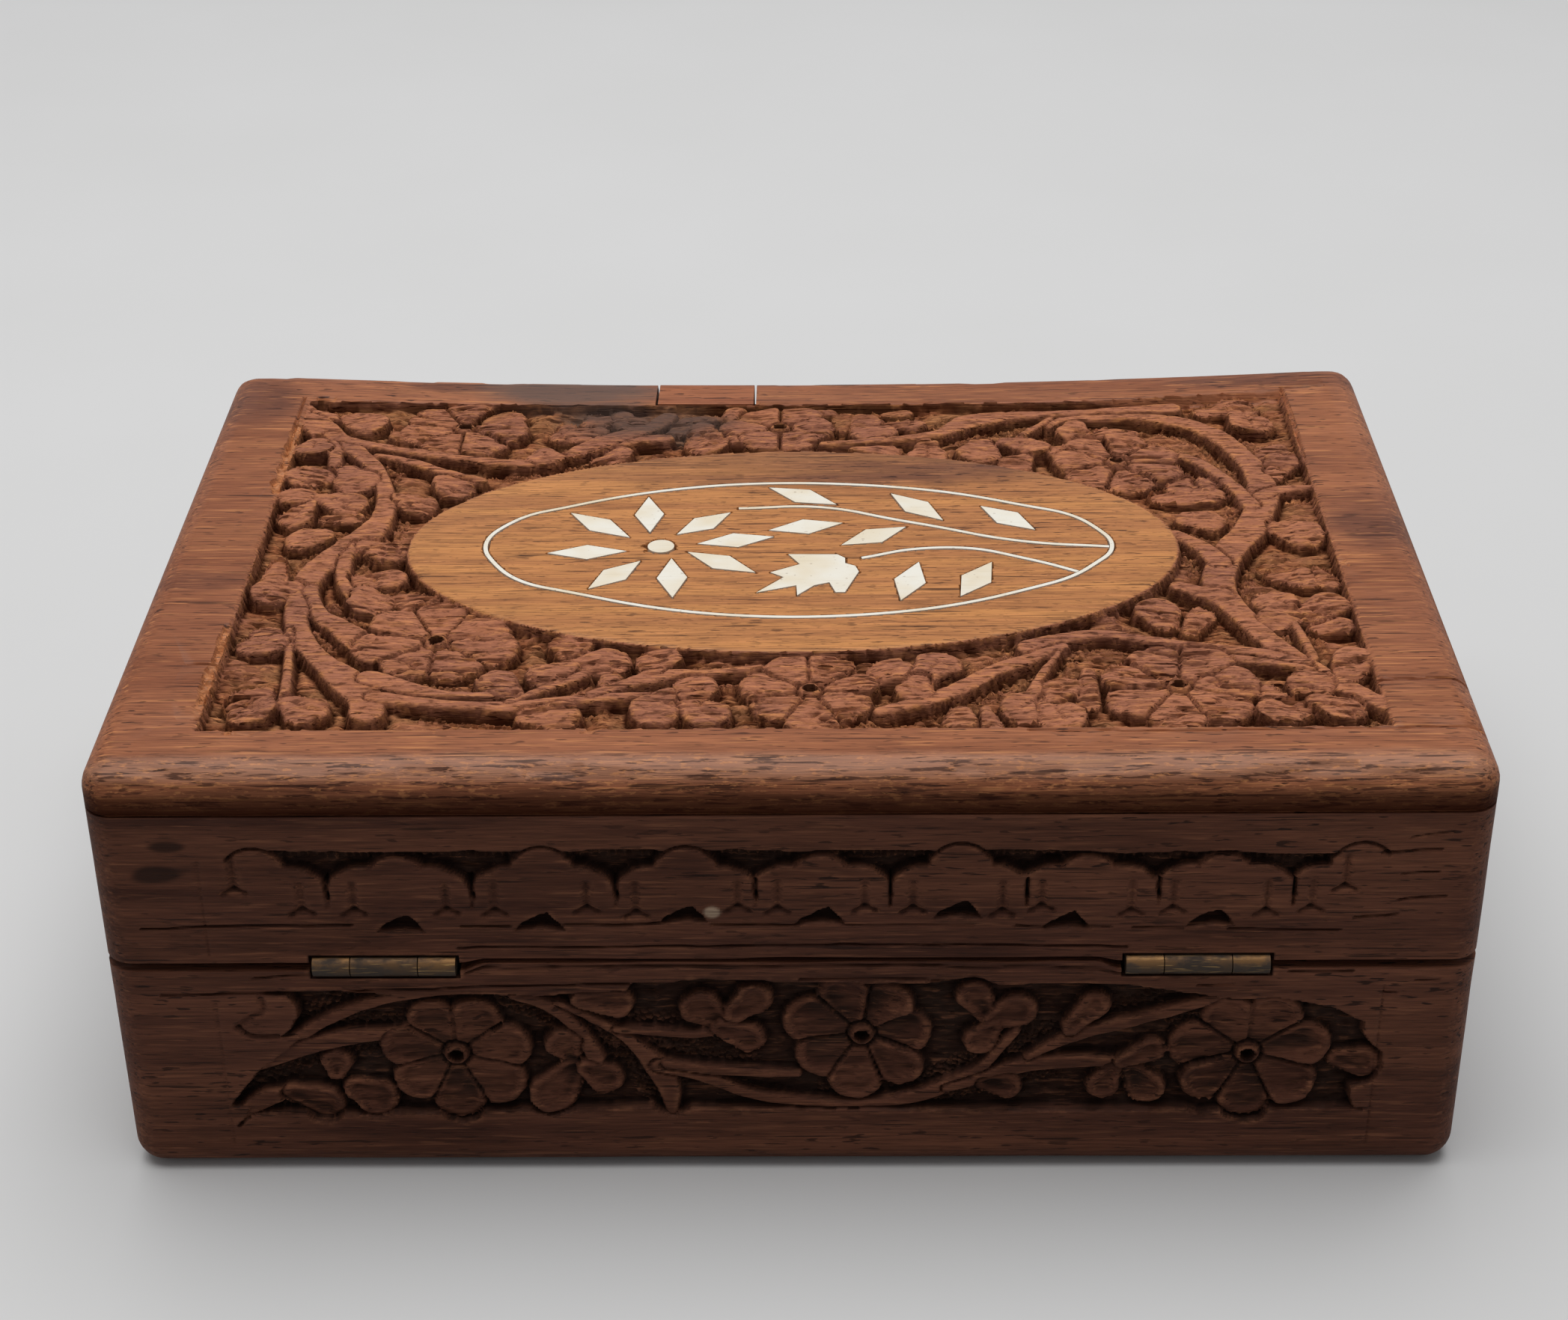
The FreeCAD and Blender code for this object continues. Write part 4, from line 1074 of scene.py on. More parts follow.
def wall_piece(part, side, plan, relief, inset, z, marks):
    """Carries the closed section of a wall of the base or the lid along the plan and closes its two ends.

    A face point is moved the way the face looks by the carved height less the inset of the rounded foot.
    Marks are more values of the face, such as stains.
    """
    move = relief.height - inset[:, None]
    across, out, level = plan.across + plan.turn_u * move, plan.out + plan.turn_out * move, z
    backs = [(plan.inner, z[-1], 0), (plan.inner, z[0], 0)]
    if part == "base":
        rebate = [(plan.inner, BOTTOM_TOP, 0), (plan.seat, BOTTOM_TOP, 0), (plan.seat, z[0], inset[0])]
        backs = backs[:1] + rebate
    for back, height, cut in backs:
        across = np.vstack([across, plan.across - plan.turn_u * cut])
        out = np.vstack([out, back])
        level = np.vstack([level, np.broadcast_to(height, plan.across.shape)])
    section = np.swapaxes(stand(side, across, out, level), 0, 1)
    faces = {**carving_values(relief, CARVED_DEPTH[part], ridge=0.5, steep=0.8), **marks}
    shell = Shell()
    on_section = {title: np.pad(face, [(0, len(backs)), (0, 0)]).T for title, face in faces.items()}
    shell.sheet(section, on_section, closed=True)
    shell.plate(section[0])
    shell.plate(section[-1])
    make_piece(f"carved_{part}_{side}", shell, part, "wall_wood", [f"{part}_{side}_wall"], MOST_TRIANGLES)


print("wall plans turn", ", ".join(SIDE_TURNS))

# %% [markdown]
# ## Hinge notches, cracks and the bowed rims
# The barrels sit in notches at the outer edge of both back walls. Long splits along the grain, scribed
# lines near the ends and a gap that is narrow in the middle and wide at the ends are what age has left on
# the back.

# %% Marks of age and use
NOTCH_HALF, NOTCH_DEPTH, NOTCH_HEIGHT = 8.3, 2.12, 0.95
HINGE_X = abs(float(np.mean([corner[0] for corner in box_mm("right_hinge_pin")])))
notch_edges = [s * (HINGE_X + t * NOTCH_HALF) + d for s in (-1, 1) for t in (-1, 1) for d in (-HAIR, HAIR)]
BASE_SPLITS = [
    ([(-70, 25.2), (-60, 25.4), (-50, 25.6), (-40, 25.9), (-30, 26.3), (-18, 26.5)], 0.6, 0.2),
    ([(-36, 27.9), (-10, 28), (20, 27.9), (38, 27.7)], 0.5, 0.2),
    ([(-59.5, 27.5), (-52.6, 27.9)], 0.4, 0.2), ([(1, 26.9), (8, 27), (15, 26.9)], 0.4, 0.2),
    ([(15.5, 26.6), (18.6, 26.8), (20.6, 27), (22.6, 26.2)], 0.6, 0.26),
    ([(-2, 9), (3, 8.75), (9, 8.7), (14, 8.7)], 0.4, 0.2),
    ([(63.2, 9.6), (63.5, 8.7), (64.8, 8.5)], 0.5, 0.25), ([(-64.1, 4), (-64.1, 24)], 0.15, 0.25),
    ([(65.6, 4), (65.6, 26)], 0.15, 0.25), ([(45, 26.1), (49, 26.2)], 0.4, 0.18),
    ([(65.6, 25.1), (67, 25)], 0.4, 0.2), ([(55, 28), (62, 27.9)], 0.5, 0.2),
    ([(69, 26.7), (71.5, 26.9)], 0.3, 0.2), ([(-61.9, 20.5), (-60.4, 19.4), (-57.6, 19.3)], 0.6, 0.45),
    ([(-61.9, 20.6), (-60.2, 22.1), (-58.8, 22.9), (-59, 24.9)], 0.35, 0.55),
]
LID_SPLITS = [
    ([(-71, 34.2), (-62, 34.5), (-48, 34.6)], 0.6, 0.22), ([(-36, 34.5), (-30.6, 34.5)], 0.5, 0.2),
    ([(-24.6, 34.6), (-19, 34.5), (-13.4, 34.8)], 0.6, 0.22),
    ([(-8.5, 34.6), (-3, 34.5), (1, 34.6)], 0.6, 0.2), ([(5.6, 34.4), (20, 34.3)], 0.3, 0.18),
    ([(24.6, 34.3), (28, 34.2)], 0.5, 0.2), ([(32, 34.2), (35, 34.1)], 0.5, 0.2),
    ([(37.4, 34), (43, 33.9)], 0.5, 0.2), ([(47.8, 33.8), (54, 33.7), (60, 33.6)], 0.5, 0.2),
    ([(-36.5, 31.5), (-20, 31.4), (0, 31.7), (20, 31.6), (37, 31.3)], 0.6, 0.22),
    ([(61.4, 35.2), (66, 35.7)], 0.5, 0.22), ([(66, 37.6), (71, 38)], 0.5, 0.22),
    ([(63.8, 43.8), (70, 44.1)], 0.5, 0.22), ([(-64, 30.6), (-64.1, 43)], 0.15, 0.25),
    ([(66, 41), (70, 41.2)], 0.3, 0.2), ([(66.6, 45.7), (71, 46.4)], 0.3, 0.2),
]
SPLIT_WAVER = 0.1
BOW_WAVER, BOW_OVER = 0.12, 3
BLOT_REACH, BLOT_RAGGED, BLOT_SOFT = 1.15, 0.3, 0.5
HANDLED, END_LINE, END_LINE_WIDTH = 0.07, 0.12, 0.5
LID_STAINS = [((-67, 45), (2.3, 0.8)), ((-69, 41.4), (3, 1.2))]
BARE_CHIP = [((-8.5, 36.2), (0.9, 0.75))]


def in_hinge_notch(u):
    """True beside a hinge barrel."""
    return np.abs(np.abs(u) - HINGE_X) <= NOTCH_HALF


def bow(u, rise, seed):
    """How far a rim has lifted: a soft plateau between the hinges with a slight waver."""
    plateau = ease((HINGE_X - NOTCH_HALF - np.abs(u)) / BOW_OVER)
    return (rise + BOW_WAVER * uneven(u, u * 0, 8, 1, seed)) * plateau


def blots(relief, spots):
    """Soft-edged spots with ragged borders, given as middle and half size: 1 in the middle, 0 outside."""
    ragged = BLOT_REACH + BLOT_RAGGED * uneven(relief.u, relief.v, 4, 2.2, 77)
    gaps = [np.hypot((relief.u - u) / half_u, (relief.v - v) / half_v) for (u, v), (half_u, half_v) in spots]
    return ease((ragged - np.min(gaps, axis=0)) / BLOT_SOFT)


def age(relief, side, splits):
    """Splits a long wall along the grain, turns the design round on all but the back wall, and softens it.

    Handled wood has a slow unevenness, and a fine line at both ends where the wall meets its neighbour.
    """
    for points, depth, half_width in splits if side in LONG_SIDES else []:
        relief.score(points, depth, half_width, waver=SPLIT_WAVER)
    if side != "back":
        relief.height = relief.height[:, ::-1].copy()
    relief.height += HANDLED * uneven(relief.u, relief.v, 14, 6, relief.seed + 9)
    end = np.abs(relief.across[-1]) - np.abs(relief.u)
    relief.height -= END_LINE * np.clip(1 - end / END_LINE_WIDTH, 0, 1)


def let_in_hinges(relief, beside_rim):
    """Sinks the notches of the two barrels into the places beside the rim."""
    relief.height = np.where(in_hinge_notch(relief.u) & beside_rim, -NOTCH_DEPTH, relief.height)


print("hinges at", round(HINGE_X, 2), "mm,", len(BASE_SPLITS) + len(LID_SPLITS), "splits on the back")

# %% Make the base's four walls
BASE_BOW, BASE_BOW_FROM = 1.0, 26.5
foot_z, foot_inset = EDGE_RADIUS * (1 - np.cos(lean_angles)), EDGE_RADIUS * (1 - np.sin(lean_angles))
base_rim = BASE_TOP - NOTCH_HEIGHT
for side, seed in {"back": 21, "front": 31, "right": 41, "left": 51}.items():
    plan = long_plan(notch_edges) if side in LONG_SIDES else short_plan()
    rim_rows = [base_rim - HAIR, base_rim] if side == "back" else []
    rows = np.concatenate([foot_z, spaced(EDGE_RADIUS, BASE_TOP, ROW_STEP, rim_rows)[1:]])
    inset = np.concatenate([foot_inset, np.zeros(len(rows) - len(foot_z))])
    wall = Carving(plan.along, rows, seed)
    carve_ground(wall, *(BASE_DESIGN if side in LONG_SIDES else SIDE_DESIGN))
    age(wall, side, BASE_SPLITS)
    lift = 0
    if side == "back":
        let_in_hinges(wall, wall.v >= base_rim)
        lift = bow(plan.along, BASE_BOW, 91) * ease((wall.v - BASE_BOW_FROM) / (BASE_TOP - BASE_BOW_FROM))
    wall.height = np.minimum(wall.height, 0)
    wall_piece("base", side, plan, wall, inset, wall.v + lift, {})

# %% Make the lid's four walls
LID_BOW, LID_BOW_OVER = 0.5, 3
for side, seed in {"back": 61, "front": 71, "right": 81, "left": 91}.items():
    plan = long_plan(notch_edges) if side in LONG_SIDES else short_plan()
    foot = LID_BACK_Z if side == "back" else LID_FRONT_Z
    lid_rim = foot + NOTCH_HEIGHT
    rim_rows = [lid_rim, lid_rim + HAIR] if side == "back" else []
    wall = Carving(plan.along, spaced(foot, BOARD_Z, ROW_STEP, rim_rows), seed)
    carve_band(wall, *(BAND if side in LONG_SIDES else SIDE_BAND))
    age(wall, side, LID_SPLITS)
    lift, marks = 0, {}
    if side == "back":
        let_in_hinges(wall, wall.v <= lid_rim)
        lift = bow(plan.along, LID_BOW, 93) * ease(1 - (wall.v - foot) / LID_BOW_OVER)
        marks = {"stain": blots(wall, LID_STAINS), "bare": blots(wall, BARE_CHIP)}
    elif side not in LONG_SIDES:
        backward = plan.across if side == "right" else -plan.across
        rim_z = np.interp(backward, [-INNER_Y, INNER_Y], [LID_FRONT_Z, LID_BACK_Z])
        lift = (BOARD_Z - wall.v) / (BOARD_Z - foot) * (rim_z - foot)
    wall.height = np.minimum(wall.height, 0)
    wall_piece("lid", side, plan, wall, np.zeros(len(wall.up)), wall.v + lift, marks)

# %% [markdown]
# ## Felt lining
# The inside cannot be seen in the photograph. A thin felt lining is usual in such a box, so there is one
# sheet on the floor, one on each wall and one under the lid. Each is a closed sheet with a soft rounded
# border.

# %% Felt sheets
FELT_STEP, FELT_HEM, FELT_ROUND = 1.6, 0.3, 0.5
BORDER_SHARE, FELT_DIP = 0.45, 0.06
FELT_SIDES = {
    "floor_lining": (2, 1, "bottom_board"), "front_lining": (1, 1, "base_front_wall"),
    "back_lining": (1, -1, "base_back_wall"), "left_lining": (0, 1, "base_left_wall"),
    "right_lining": (0, -1, "base_right_wall"), "lid_lining": (2, -1, "lid_top_board"),
}


def outline_of(grid):
    """The border of a grid, once round: along its first row, up its last column, back and down."""
    return np.concatenate([grid[0, :-1], grid[:-1, -1], grid[-1, :0:-1], grid[:0:-1, 0]])


def felt_grids(low, high, thin, way):
    """Face and back of a felt sheet as two grids that share their border.

    The face stands off the back by the thickness, less a quarter round at the border and a slight unevenness.
    """
    sides = [axis for axis in range(3) if axis != thin]
    spans = [(low[axis], high[axis]) for axis in sides]
    places = np.meshgrid(*[spaced(a, b, FELT_STEP, [a + FELT_HEM, b - FELT_HEM]) for a, b in spans])
    border = np.min([np.minimum(p - a, b - p) for p, (a, b) in zip(places, spans)], axis=0)
    round_off = np.sqrt(np.clip(1 - np.clip(1 - border / FELT_ROUND, 0, 1) ** 2, 0, 1))
    stand_off = (high[thin] - low[thin]) * (BORDER_SHARE + (1 - BORDER_SHARE) * round_off)
    stand_off = stand_off * (1 - FELT_DIP * (1 + uneven(*places, 5, 5, 7)) * (border > 0))
    grids = []
    for away in (stand_off, 0 * stand_off):
        grid = np.empty(border.shape + (3,))
        grid[..., sides[0]], grid[..., sides[1]] = places
        grid[..., thin] = (low[thin] if way > 0 else high[thin]) + way * away
        grids.append(grid)
    return grids


for node, (thin, way, carrier) in FELT_SIDES.items():
    low, high = box_mm(node)
    face, back = felt_grids(low, high, thin, way)
    felt = Shell()
    felt.sheet(face)
    felt.sheet(back)
    felt.sheet(np.stack([outline_of(face), outline_of(back)]), closed=True)
    sheet = make_piece(f"felt_{node}", felt, "lid" if node == "lid_lining" else "base", "felt_lining", [node])

# %% [markdown]
# ## Finishes
# One small class lets shader maths be written as ordinary Python. A finish adds nodes as its expressions
# are evaluated, so the colour of the wood reads like a recipe: streaks, fibres, pores, then what carving
# and wear do, with painted shade in cuts and painted highlights on ridges.

# %% Shader maths
class Shade:
    """One socket of a finish. Arithmetic with it adds Math nodes."""

    def __init__(self, finish, socket):
        self.finish, self.socket = finish, socket

    def maths(self, operation, first, second):
        return self.finish.node("Math", {"operation": operation}, {0: first, 1: second})

    def __add__(self, other):
        return self.maths("ADD", self, other)

    def __sub__(self, other):
        return self.maths("SUBTRACT", self, other)

    def __rsub__(self, other):
        return self.maths("SUBTRACT", other, self)

    def __mul__(self, other):
        return self.maths("MULTIPLY", self, other)

    def __truediv__(self, other):
        return self.maths("DIVIDE", self, other)

    def __rtruediv__(self, other):
        return self.maths("DIVIDE", other, self)

    def __pow__(self, other):
        return self.maths("POWER", self, other)

    __radd__, __rmul__ = __add__, __mul__


def colour(red, green, blue):
    """A colour as a screen shows it, 0 to 255, as the linear values a shader takes."""
    shown = np.array([red, green, blue]) / 255
    linear = np.where(shown <= 0.04045, shown / 12.92, ((shown + 0.055) / 1.055) ** 2.4)
    return tuple(float(c) for c in linear) + (1.0,)


print("half grey on a screen is", round(colour(128, 128, 128)[0], 3), "to a shader")


# %% Finishes made of nodes
OBJECT, FACTOR, MIXED = 3, 2, 2


class Finish:
    """A material whose nodes come from one method; constants go straight onto the shader's sockets.

    Colours are given as a screen shows them. The tone is the colour that has been built up so far.
    """

    def __init__(self, name, **constants):
        self.material = bpy.data.materials.new(name)
        self.material.use_nodes = True
        self.tree = self.material.node_tree
        self.shader = self.tree.nodes["Principled BSDF"]
        for title, value in constants.items():
            self.shader.inputs[title.replace("_", " ")].default_value = value

    def node(self, kind, settings=None, sockets=None, output=0):
        """Adds a node, sets its settings first and then its sockets' values or links."""
        node = self.tree.nodes.new("ShaderNode" + kind)
        for title, value in (settings or {}).items():
            setattr(node, title, value)
        for title, value in (sockets or {}).items():
            if isinstance(value, Shade):
                self.tree.links.new(value.socket, node.inputs[title])
            else:
                node.inputs[title].default_value = value
        return Shade(self, node.outputs[output])

    def vector(self, operation, first, second=(0, 0, 0), third=(0, 0, 0), output=0):
        """Vector maths on up to three vectors; its output 1 is a number, such as a length."""
        sockets = {0: first, 1: second, 2: third}
        return self.node("VectorMath", {"operation": operation}, sockets, output)

    def feed(self, title, shade):
        """Links a value to one of the shader's own sockets."""
        self.tree.links.new(shade.socket, self.shader.inputs[title])

    def place(self):
        """Where a point lies in the box, in metres."""
        return self.node("TexCoord", output=OBJECT)

    def height(self):
        """Millimetres above the floor with the lid shut."""
        return self.node("SeparateXYZ", None, {0: self.place()}, output=2) / MM

    def seen(self):
        """1 for what the camera sees itself, mirrored or through glass, 0 for light on its way round."""
        rays = "Is Camera Ray", "Is Glossy Ray", "Is Transmission Ray"
        return sum(self.node("LightPath", output=ray) for ray in rays)

    def attribute(self, name):
        """A value kept at the points of the mesh."""
        return self.node("Attribute", {"attribute_name": name}, output=FACTOR)

    def mix(self, share, first, second):
        """A colour between two, each a socket or a colour as a screen shows it."""
        first, second = [c if isinstance(c, Shade) else colour(*c) for c in (first, second)]
        return self.node("Mix", {"data_type": "RGBA"}, {0: share, 6: first, 7: second}, output=MIXED)

    def cover(self, *layers):
        """Lays colours over the tone, each given with its share."""
        for share, above in layers:
            self.tone = self.mix(share, self.tone, above)

    def noise(self, cells, detail=2.0, roughness=0.5):
        """Smooth noise from 0 to 1 whose cells have this size in millimetres along X, Y and Z."""
        place = self.vector("MULTIPLY", self.place(), tuple(1 / (cell * MM) for cell in cells))
        sockets = {"Vector": place, "Scale": 1.0, "Detail": detail, "Roughness": roughness}
        return self.node("TexNoise", None, sockets)

    def step(self, value, low, high):
        """0 below low, 1 above high, smooth between."""
        settings = {"interpolation_type": "SMOOTHSTEP"}
        return self.node("MapRange", settings, {"Value": value, "From Min": low, "From Max": high})

    def larger(self, first, second):
        """The larger of two values."""
        return self.node("Math", {"operation": "MAXIMUM"}, {0: first, 1: second})

    def bump(self, height, strength, distance):
        """Tilts the surface by a height."""
        sockets = {"Height": height, "Strength": strength, "Distance": distance}
        self.feed("Normal", self.node("Bump", None, sockets))


print("helpers of a finish: attribute, noise, step, larger, mix, cover, bump, feed")

# %% [markdown]
# ## Wood
# The boards are an open-pored reddish brown wood. Its colour changes in broad streaks along the grain, with
# short dark pores and fine fibres. The carved ground is darker and holds grey-green dust; on the walls its
# near-black tone is partly dirt and partly painted shade. Cuts and steep walls get painted shade, and ridges
# are paler and more orange, partly raw wood and partly a painted highlight. The grain runs along X on long
# boards and along Y on short ones, so the noise cells are stretched that way. The lid has spots of its own:
# golden, shaded and stained places, a frayed near edge with a painted sheen on its upper part, painted shade
# on the lower part of its rounded edge, and masks for its field and medallion.

# %% Patterns of the wood
# A pattern's cell along and across the grain, its detail and roughness, and the range it is stretched from.
GRAIN_PATTERNS = {
    "streaks": (60, 2.6, 4.0, 0.6, 0.34, 0.66), "bands": (90, 9, 2.0, 0.5, 0.36, 0.62),
    "pores": (2.8, 0.42, 1.5, 0.5, 0.635, 0.69), "cracks": (12, 0.45, 2.0, 0.5, 0.64, 0.71),
    "scuffs": (9, 0.5, 2.0, 0.5, 0.58, 0.7), "worn": (3.2, 1.6, 4.0, 0.65, 0.46, 0.66),
    "fibres": (7, 0.26, 3.0, 0.65),
}
LID_PATTERNS = {"frays": (5, 0.5, 3.0, 0.6, 0.54, 0.62), "flecks": (1.5, 0.42, 3.0, 0.65)}
STAINS = [((-30, 46), (13, 5.5)), ((-18, 35.5), (11, 6)), ((-24, 39), (7, 4.5))]
SHADES = [
    ((71, 5), (6, 8)), ((-71, -9), (8, 2.6)), ((-71, 40), (6, 8)), ((66, 47), (15, 3.4)),
    ((4, 20.5), (34, 6)), ((-46, 47), (8, 1.6)),
]
NEAR_EDGE = [((0, -50), (300, 2.6))]
DEEPER = [((-71, 4), (6.5, 55)), ((28, 47.5), (62, 4.5))]
GOLDS = [
    ((-69, 28), (5, 6)), ((14, 45), (24, 3.4)), ((-46, 46), (10, 2.4)), ((-70, 3), (6, 5)),
    ((50.5, 8), (3.4, 3.4)),
]
SPOT_RAGGED, SPOT_EDGE = 0.7, (-0.95, -0.15)
FIELD_EDGE, BESIDE_EDGE, OVAL_EDGE = (0.998, 1.003), (1.035, 1.02), (1.004, 0.994)


class Wood(Finish):
    """A finish that holds the patterns of wood by name, and knows the places of the lid."""

    def __init__(self, name, grain, patterns, **constants):
        super().__init__(name, **constants)
        for title, (along, across, detail, roughness, *limits) in patterns.items():
            cells = (across, along, across) if grain == "y" else (along, across, across)
            pattern = self.noise(cells, detail, roughness)
            setattr(self, title, self.step(pattern, *limits) if limits else pattern)
        self.blotches = self.step(self.noise((17, 13, 13)), 0.42, 0.66)
        self.dusty = self.step(self.noise((5, 4, 4), 4.0, 0.6), 0.36, 0.62)

    def flat(self, middle, half):
        """A place on the lid from -1 to 1 in u and v, counted from a middle over a half size."""
        stretch = (1 / (half[0] * MM), 1 / (half[1] * MM), 0)
        offset = (middle[0] / half[0], middle[1] / half[1], 0)
        return self.vector("MULTIPLY_ADD", self.place(), stretch, offset)

    def spots(self, middles):
        """The strongest of several soft, ragged ellipses on the lid, given by middle and half size."""
        ragged = SPOT_RAGGED * self.noise((7, 5, 7), 3.0)
        strongest = 0.0
        for middle, half in middles:
            gap = self.vector("LENGTH", self.flat(middle, half), output=1)
            strongest = self.larger(self.step(ragged - gap, *SPOT_EDGE), strongest)
        return strongest

    def lid_masks(self):
        """Masks of the lid: 1 in the sunk field, 1 on the medallion, 1 in the field and close beside it."""
        middle = (FIELD_LEFT + FIELD_RIGHT) / 2, (FIELD_NEAR + FIELD_FAR) / 2
        half = FIELD_RIGHT - middle[0], FIELD_FAR - middle[1]
        place = self.vector("ABSOLUTE", self.flat(middle, half))
        beyond = self.larger(*[self.node("SeparateXYZ", None, {0: place}, output) for output in (0, 1)])
        border, beside = self.step(beyond, *FIELD_EDGE), self.step(beyond, *BESIDE_EDGE)
        oval = self.vector("LENGTH", self.flat(OVAL_CENTRE, OVAL_HALF), output=1)
        medallion = self.step(oval, *OVAL_EDGE)
        return 1 - self.larger(border, medallion), medallion, beside


print("patterns of the wood:", ", ".join(GRAIN_PATTERNS))

# %% Recipe of the wood
BARE_WOOD, GLUE = (214, 188, 160), (74, 44, 32)
COAT, COAT_ROUGHNESS = 0.27, 0.38
# Heights of the upper part of the lid's near edge, where a pale painted sheen is laid.
UPPER_EDGE = 52.4, 53.6


def wood(name, grain, tones, on_lid=False):
    """Two tones mixed by streaks, a third by blotches, then carving, wear, fibres, pores, cracks and stains.

    The carving adds painted shade in cuts and on steep walls and a pale ridge tone that is partly raw wood
    and partly a painted highlight; painted shade also darkens the lower part of the lid's rounded edge.
    The lid's tones go on among them: under the carving those of its medallion, motifs and spots, above it
    its flecks, its frayed near edge and a painted sheen on the upper part of that edge.
    """
    patterns = {**GRAIN_PATTERNS, **LID_PATTERNS} if on_lid else GRAIN_PATTERNS
    w = Wood(name, grain, patterns, Specular_IOR_Level=0.02 if on_lid else 0.1, Coat_Roughness=COAT_ROUGHNESS)
    titles = "carved", "ridge", "painted_crevice_shade", "chip", "painted_edge_shade"
    # The ridge mask gives a pale tone that is partly raw wood at worn edges and partly a painted highlight.
    carved, ridge_wear_and_highlight, painted_crevice_shade, chipped, painted_edge_shade = [w.attribute(title) for title in titles]
    ridge, deep = tones["ridge"], tones["deep"]
    w.tone = w.mix(0.6 * w.streaks + 0.4 * w.bands, tones["dark"], tones["light"])
    w.cover((w.blotches * 0.45, tones["warm"]))
    if on_lid:
        field, medallion, beside = w.lid_masks()
        carved, ridge_wear_and_highlight, painted_crevice_shade, chipped = field * carved, field * ridge_wear_and_highlight, field * painted_crevice_shade, beside * chipped
        w.cover((w.spots(GOLDS) * (0.05 + 0.1 * w.streaks), tones["medallion"]),
                (w.spots(DEEPER) * 0.5, tones["dark"]),
                (medallion * (0.5 + 0.5 * w.streaks), tones["medallion"]),
                (w.spots(SHADES) * (0.35 + 0.5 * w.bands), tones["shade"]),
                (field * (0.95 - 0.4 * w.worn), tones["motif"]),
                (field * w.blotches * 0.5, tones["dull"]))
    # Carved ground takes the ground and dust tones, near black on the walls: partly dirt, partly painted
    # shade. The crevice mask lays painted shade in cuts and on steep walls.
    w.cover((w.step(carved, 0.45, 0.85) * 0.85, tones["ground"]),
            (w.step(carved, 0.5, 0.85) * w.dusty * 0.7, tones["dust"]),
            (w.scuffs * 0.45, ridge),
            (w.step(w.fibres, 0.58, 0.72) * 0.3, ridge),
            (ridge_wear_and_highlight * (0.1 + 0.7 * w.worn), ridge),
            (chipped * (0.2 + 0.5 * w.fibres), ridge),
            (painted_crevice_shade * 0.95, deep),
            (w.step(w.fibres, 0.6, 0.3) * 0.45, deep),
            (w.pores * (0.3 + 0.55 * w.bands), deep))
    if on_lid:
        # Along the near edge the pale tone on its upper part is a painted sheen; the frays and flecks are
        # wear.
        level, near_edge = field * (1 - painted_crevice_shade), w.spots(NEAR_EDGE)
        w.cover((level * w.step(w.flecks, 0.47, 0.36) * 0.6, deep),
                (level * w.step(w.flecks, 0.56, 0.68) * 0.4, ridge),
                (medallion * w.step(w.flecks, 0.42, 0.34) * 0.4, deep),
                (near_edge * w.step(w.height(), *UPPER_EDGE) * 0.28, tones["rubbed_and_sheen"]),
                (near_edge * w.frays * 0.75, deep),
                (near_edge * w.step(w.flecks, 0.55, 0.66) * 0.45, ridge))
    w.cover((w.cracks * 0.75, deep))
    if on_lid:
        w.cover((w.spots(STAINS) * 0.8, tones["stain"]))
        w.feed("Coat Weight", COAT * (1 - field) * (1 - painted_edge_shade))
    # The last layer darkens the lower part of the lid's rounded edge: painted shade.
    w.cover((w.attribute("stain") * 0.8, deep), (w.attribute("bare") * w.fibres, BARE_WOOD),
            (w.attribute("glue") * 0.7, GLUE), (painted_edge_shade * 0.95, deep))
    w.feed("Base Color", w.tone)
    w.feed("Roughness", 0.5 + 0.16 * w.fibres + 0.24 * carved)
    w.bump(w.fibres - w.pores * 0.8 - w.cracks, 0.5, 0.0002)
    return w.material


print("clear coat", COAT, "on the lid outside its field")

# %% Woods of the box
# deep is the colour of pores and cracks and of painted shade in cuts and under the rounded edge; the pale
# (190, 150, 126) is a painted sheen on the near edge.
LID_TONES = dict(
    dark=(134, 78, 51), light=(171, 108, 73), warm=(149, 92, 65), ground=(138, 82, 52), dust=(164, 116, 80),
    ridge=(220, 148, 94), deep=(46, 17, 7), medallion=(202, 138, 82), motif=(178, 116, 88),
    dull=(142, 93, 78), shade=(104, 62, 46), stain=(84, 70, 64), rubbed_and_sheen=(190, 150, 126),
)
# On the walls the ground and dust tones are near black, partly dirt and partly painted shade in the sunk
# ground; deep is the colour of pores and cracks and of painted shade.
WALL_TONES = dict(
    dark=(70, 40, 30), light=(124, 78, 58), warm=(104, 64, 50), ground=(34, 20, 15), dust=(50, 36, 29),
    ridge=(150, 98, 71), deep=(28, 14, 9),
)
RED_TONES = dict(
    dark=(132, 74, 50), light=(166, 104, 72), warm=(150, 92, 66), ground=(86, 48, 34), dust=(120, 96, 82),
    ridge=(176, 110, 74), deep=(70, 38, 26),
)
PLAIN_TONES = dict(
    dark=(116, 82, 60), light=(146, 108, 80), warm=(128, 98, 78), ground=(78, 52, 38), dust=(120, 100, 84),
    ridge=(150, 110, 80), deep=(70, 46, 32),
)
FINISHES = {
    "lid_wood": wood("lid_wood_carved", "x", LID_TONES, on_lid=True),
    "wall_wood": wood("wall_wood_long", "x", WALL_TONES),
    "short_wall_wood": wood("wall_wood_short", "y", WALL_TONES),
    "red_wood": wood("red_wood_block", "x", RED_TONES),
    "plain_wood": wood("plain_wood_board", "x", PLAIN_TONES),
}
print("woods:", ", ".join(FINISHES))

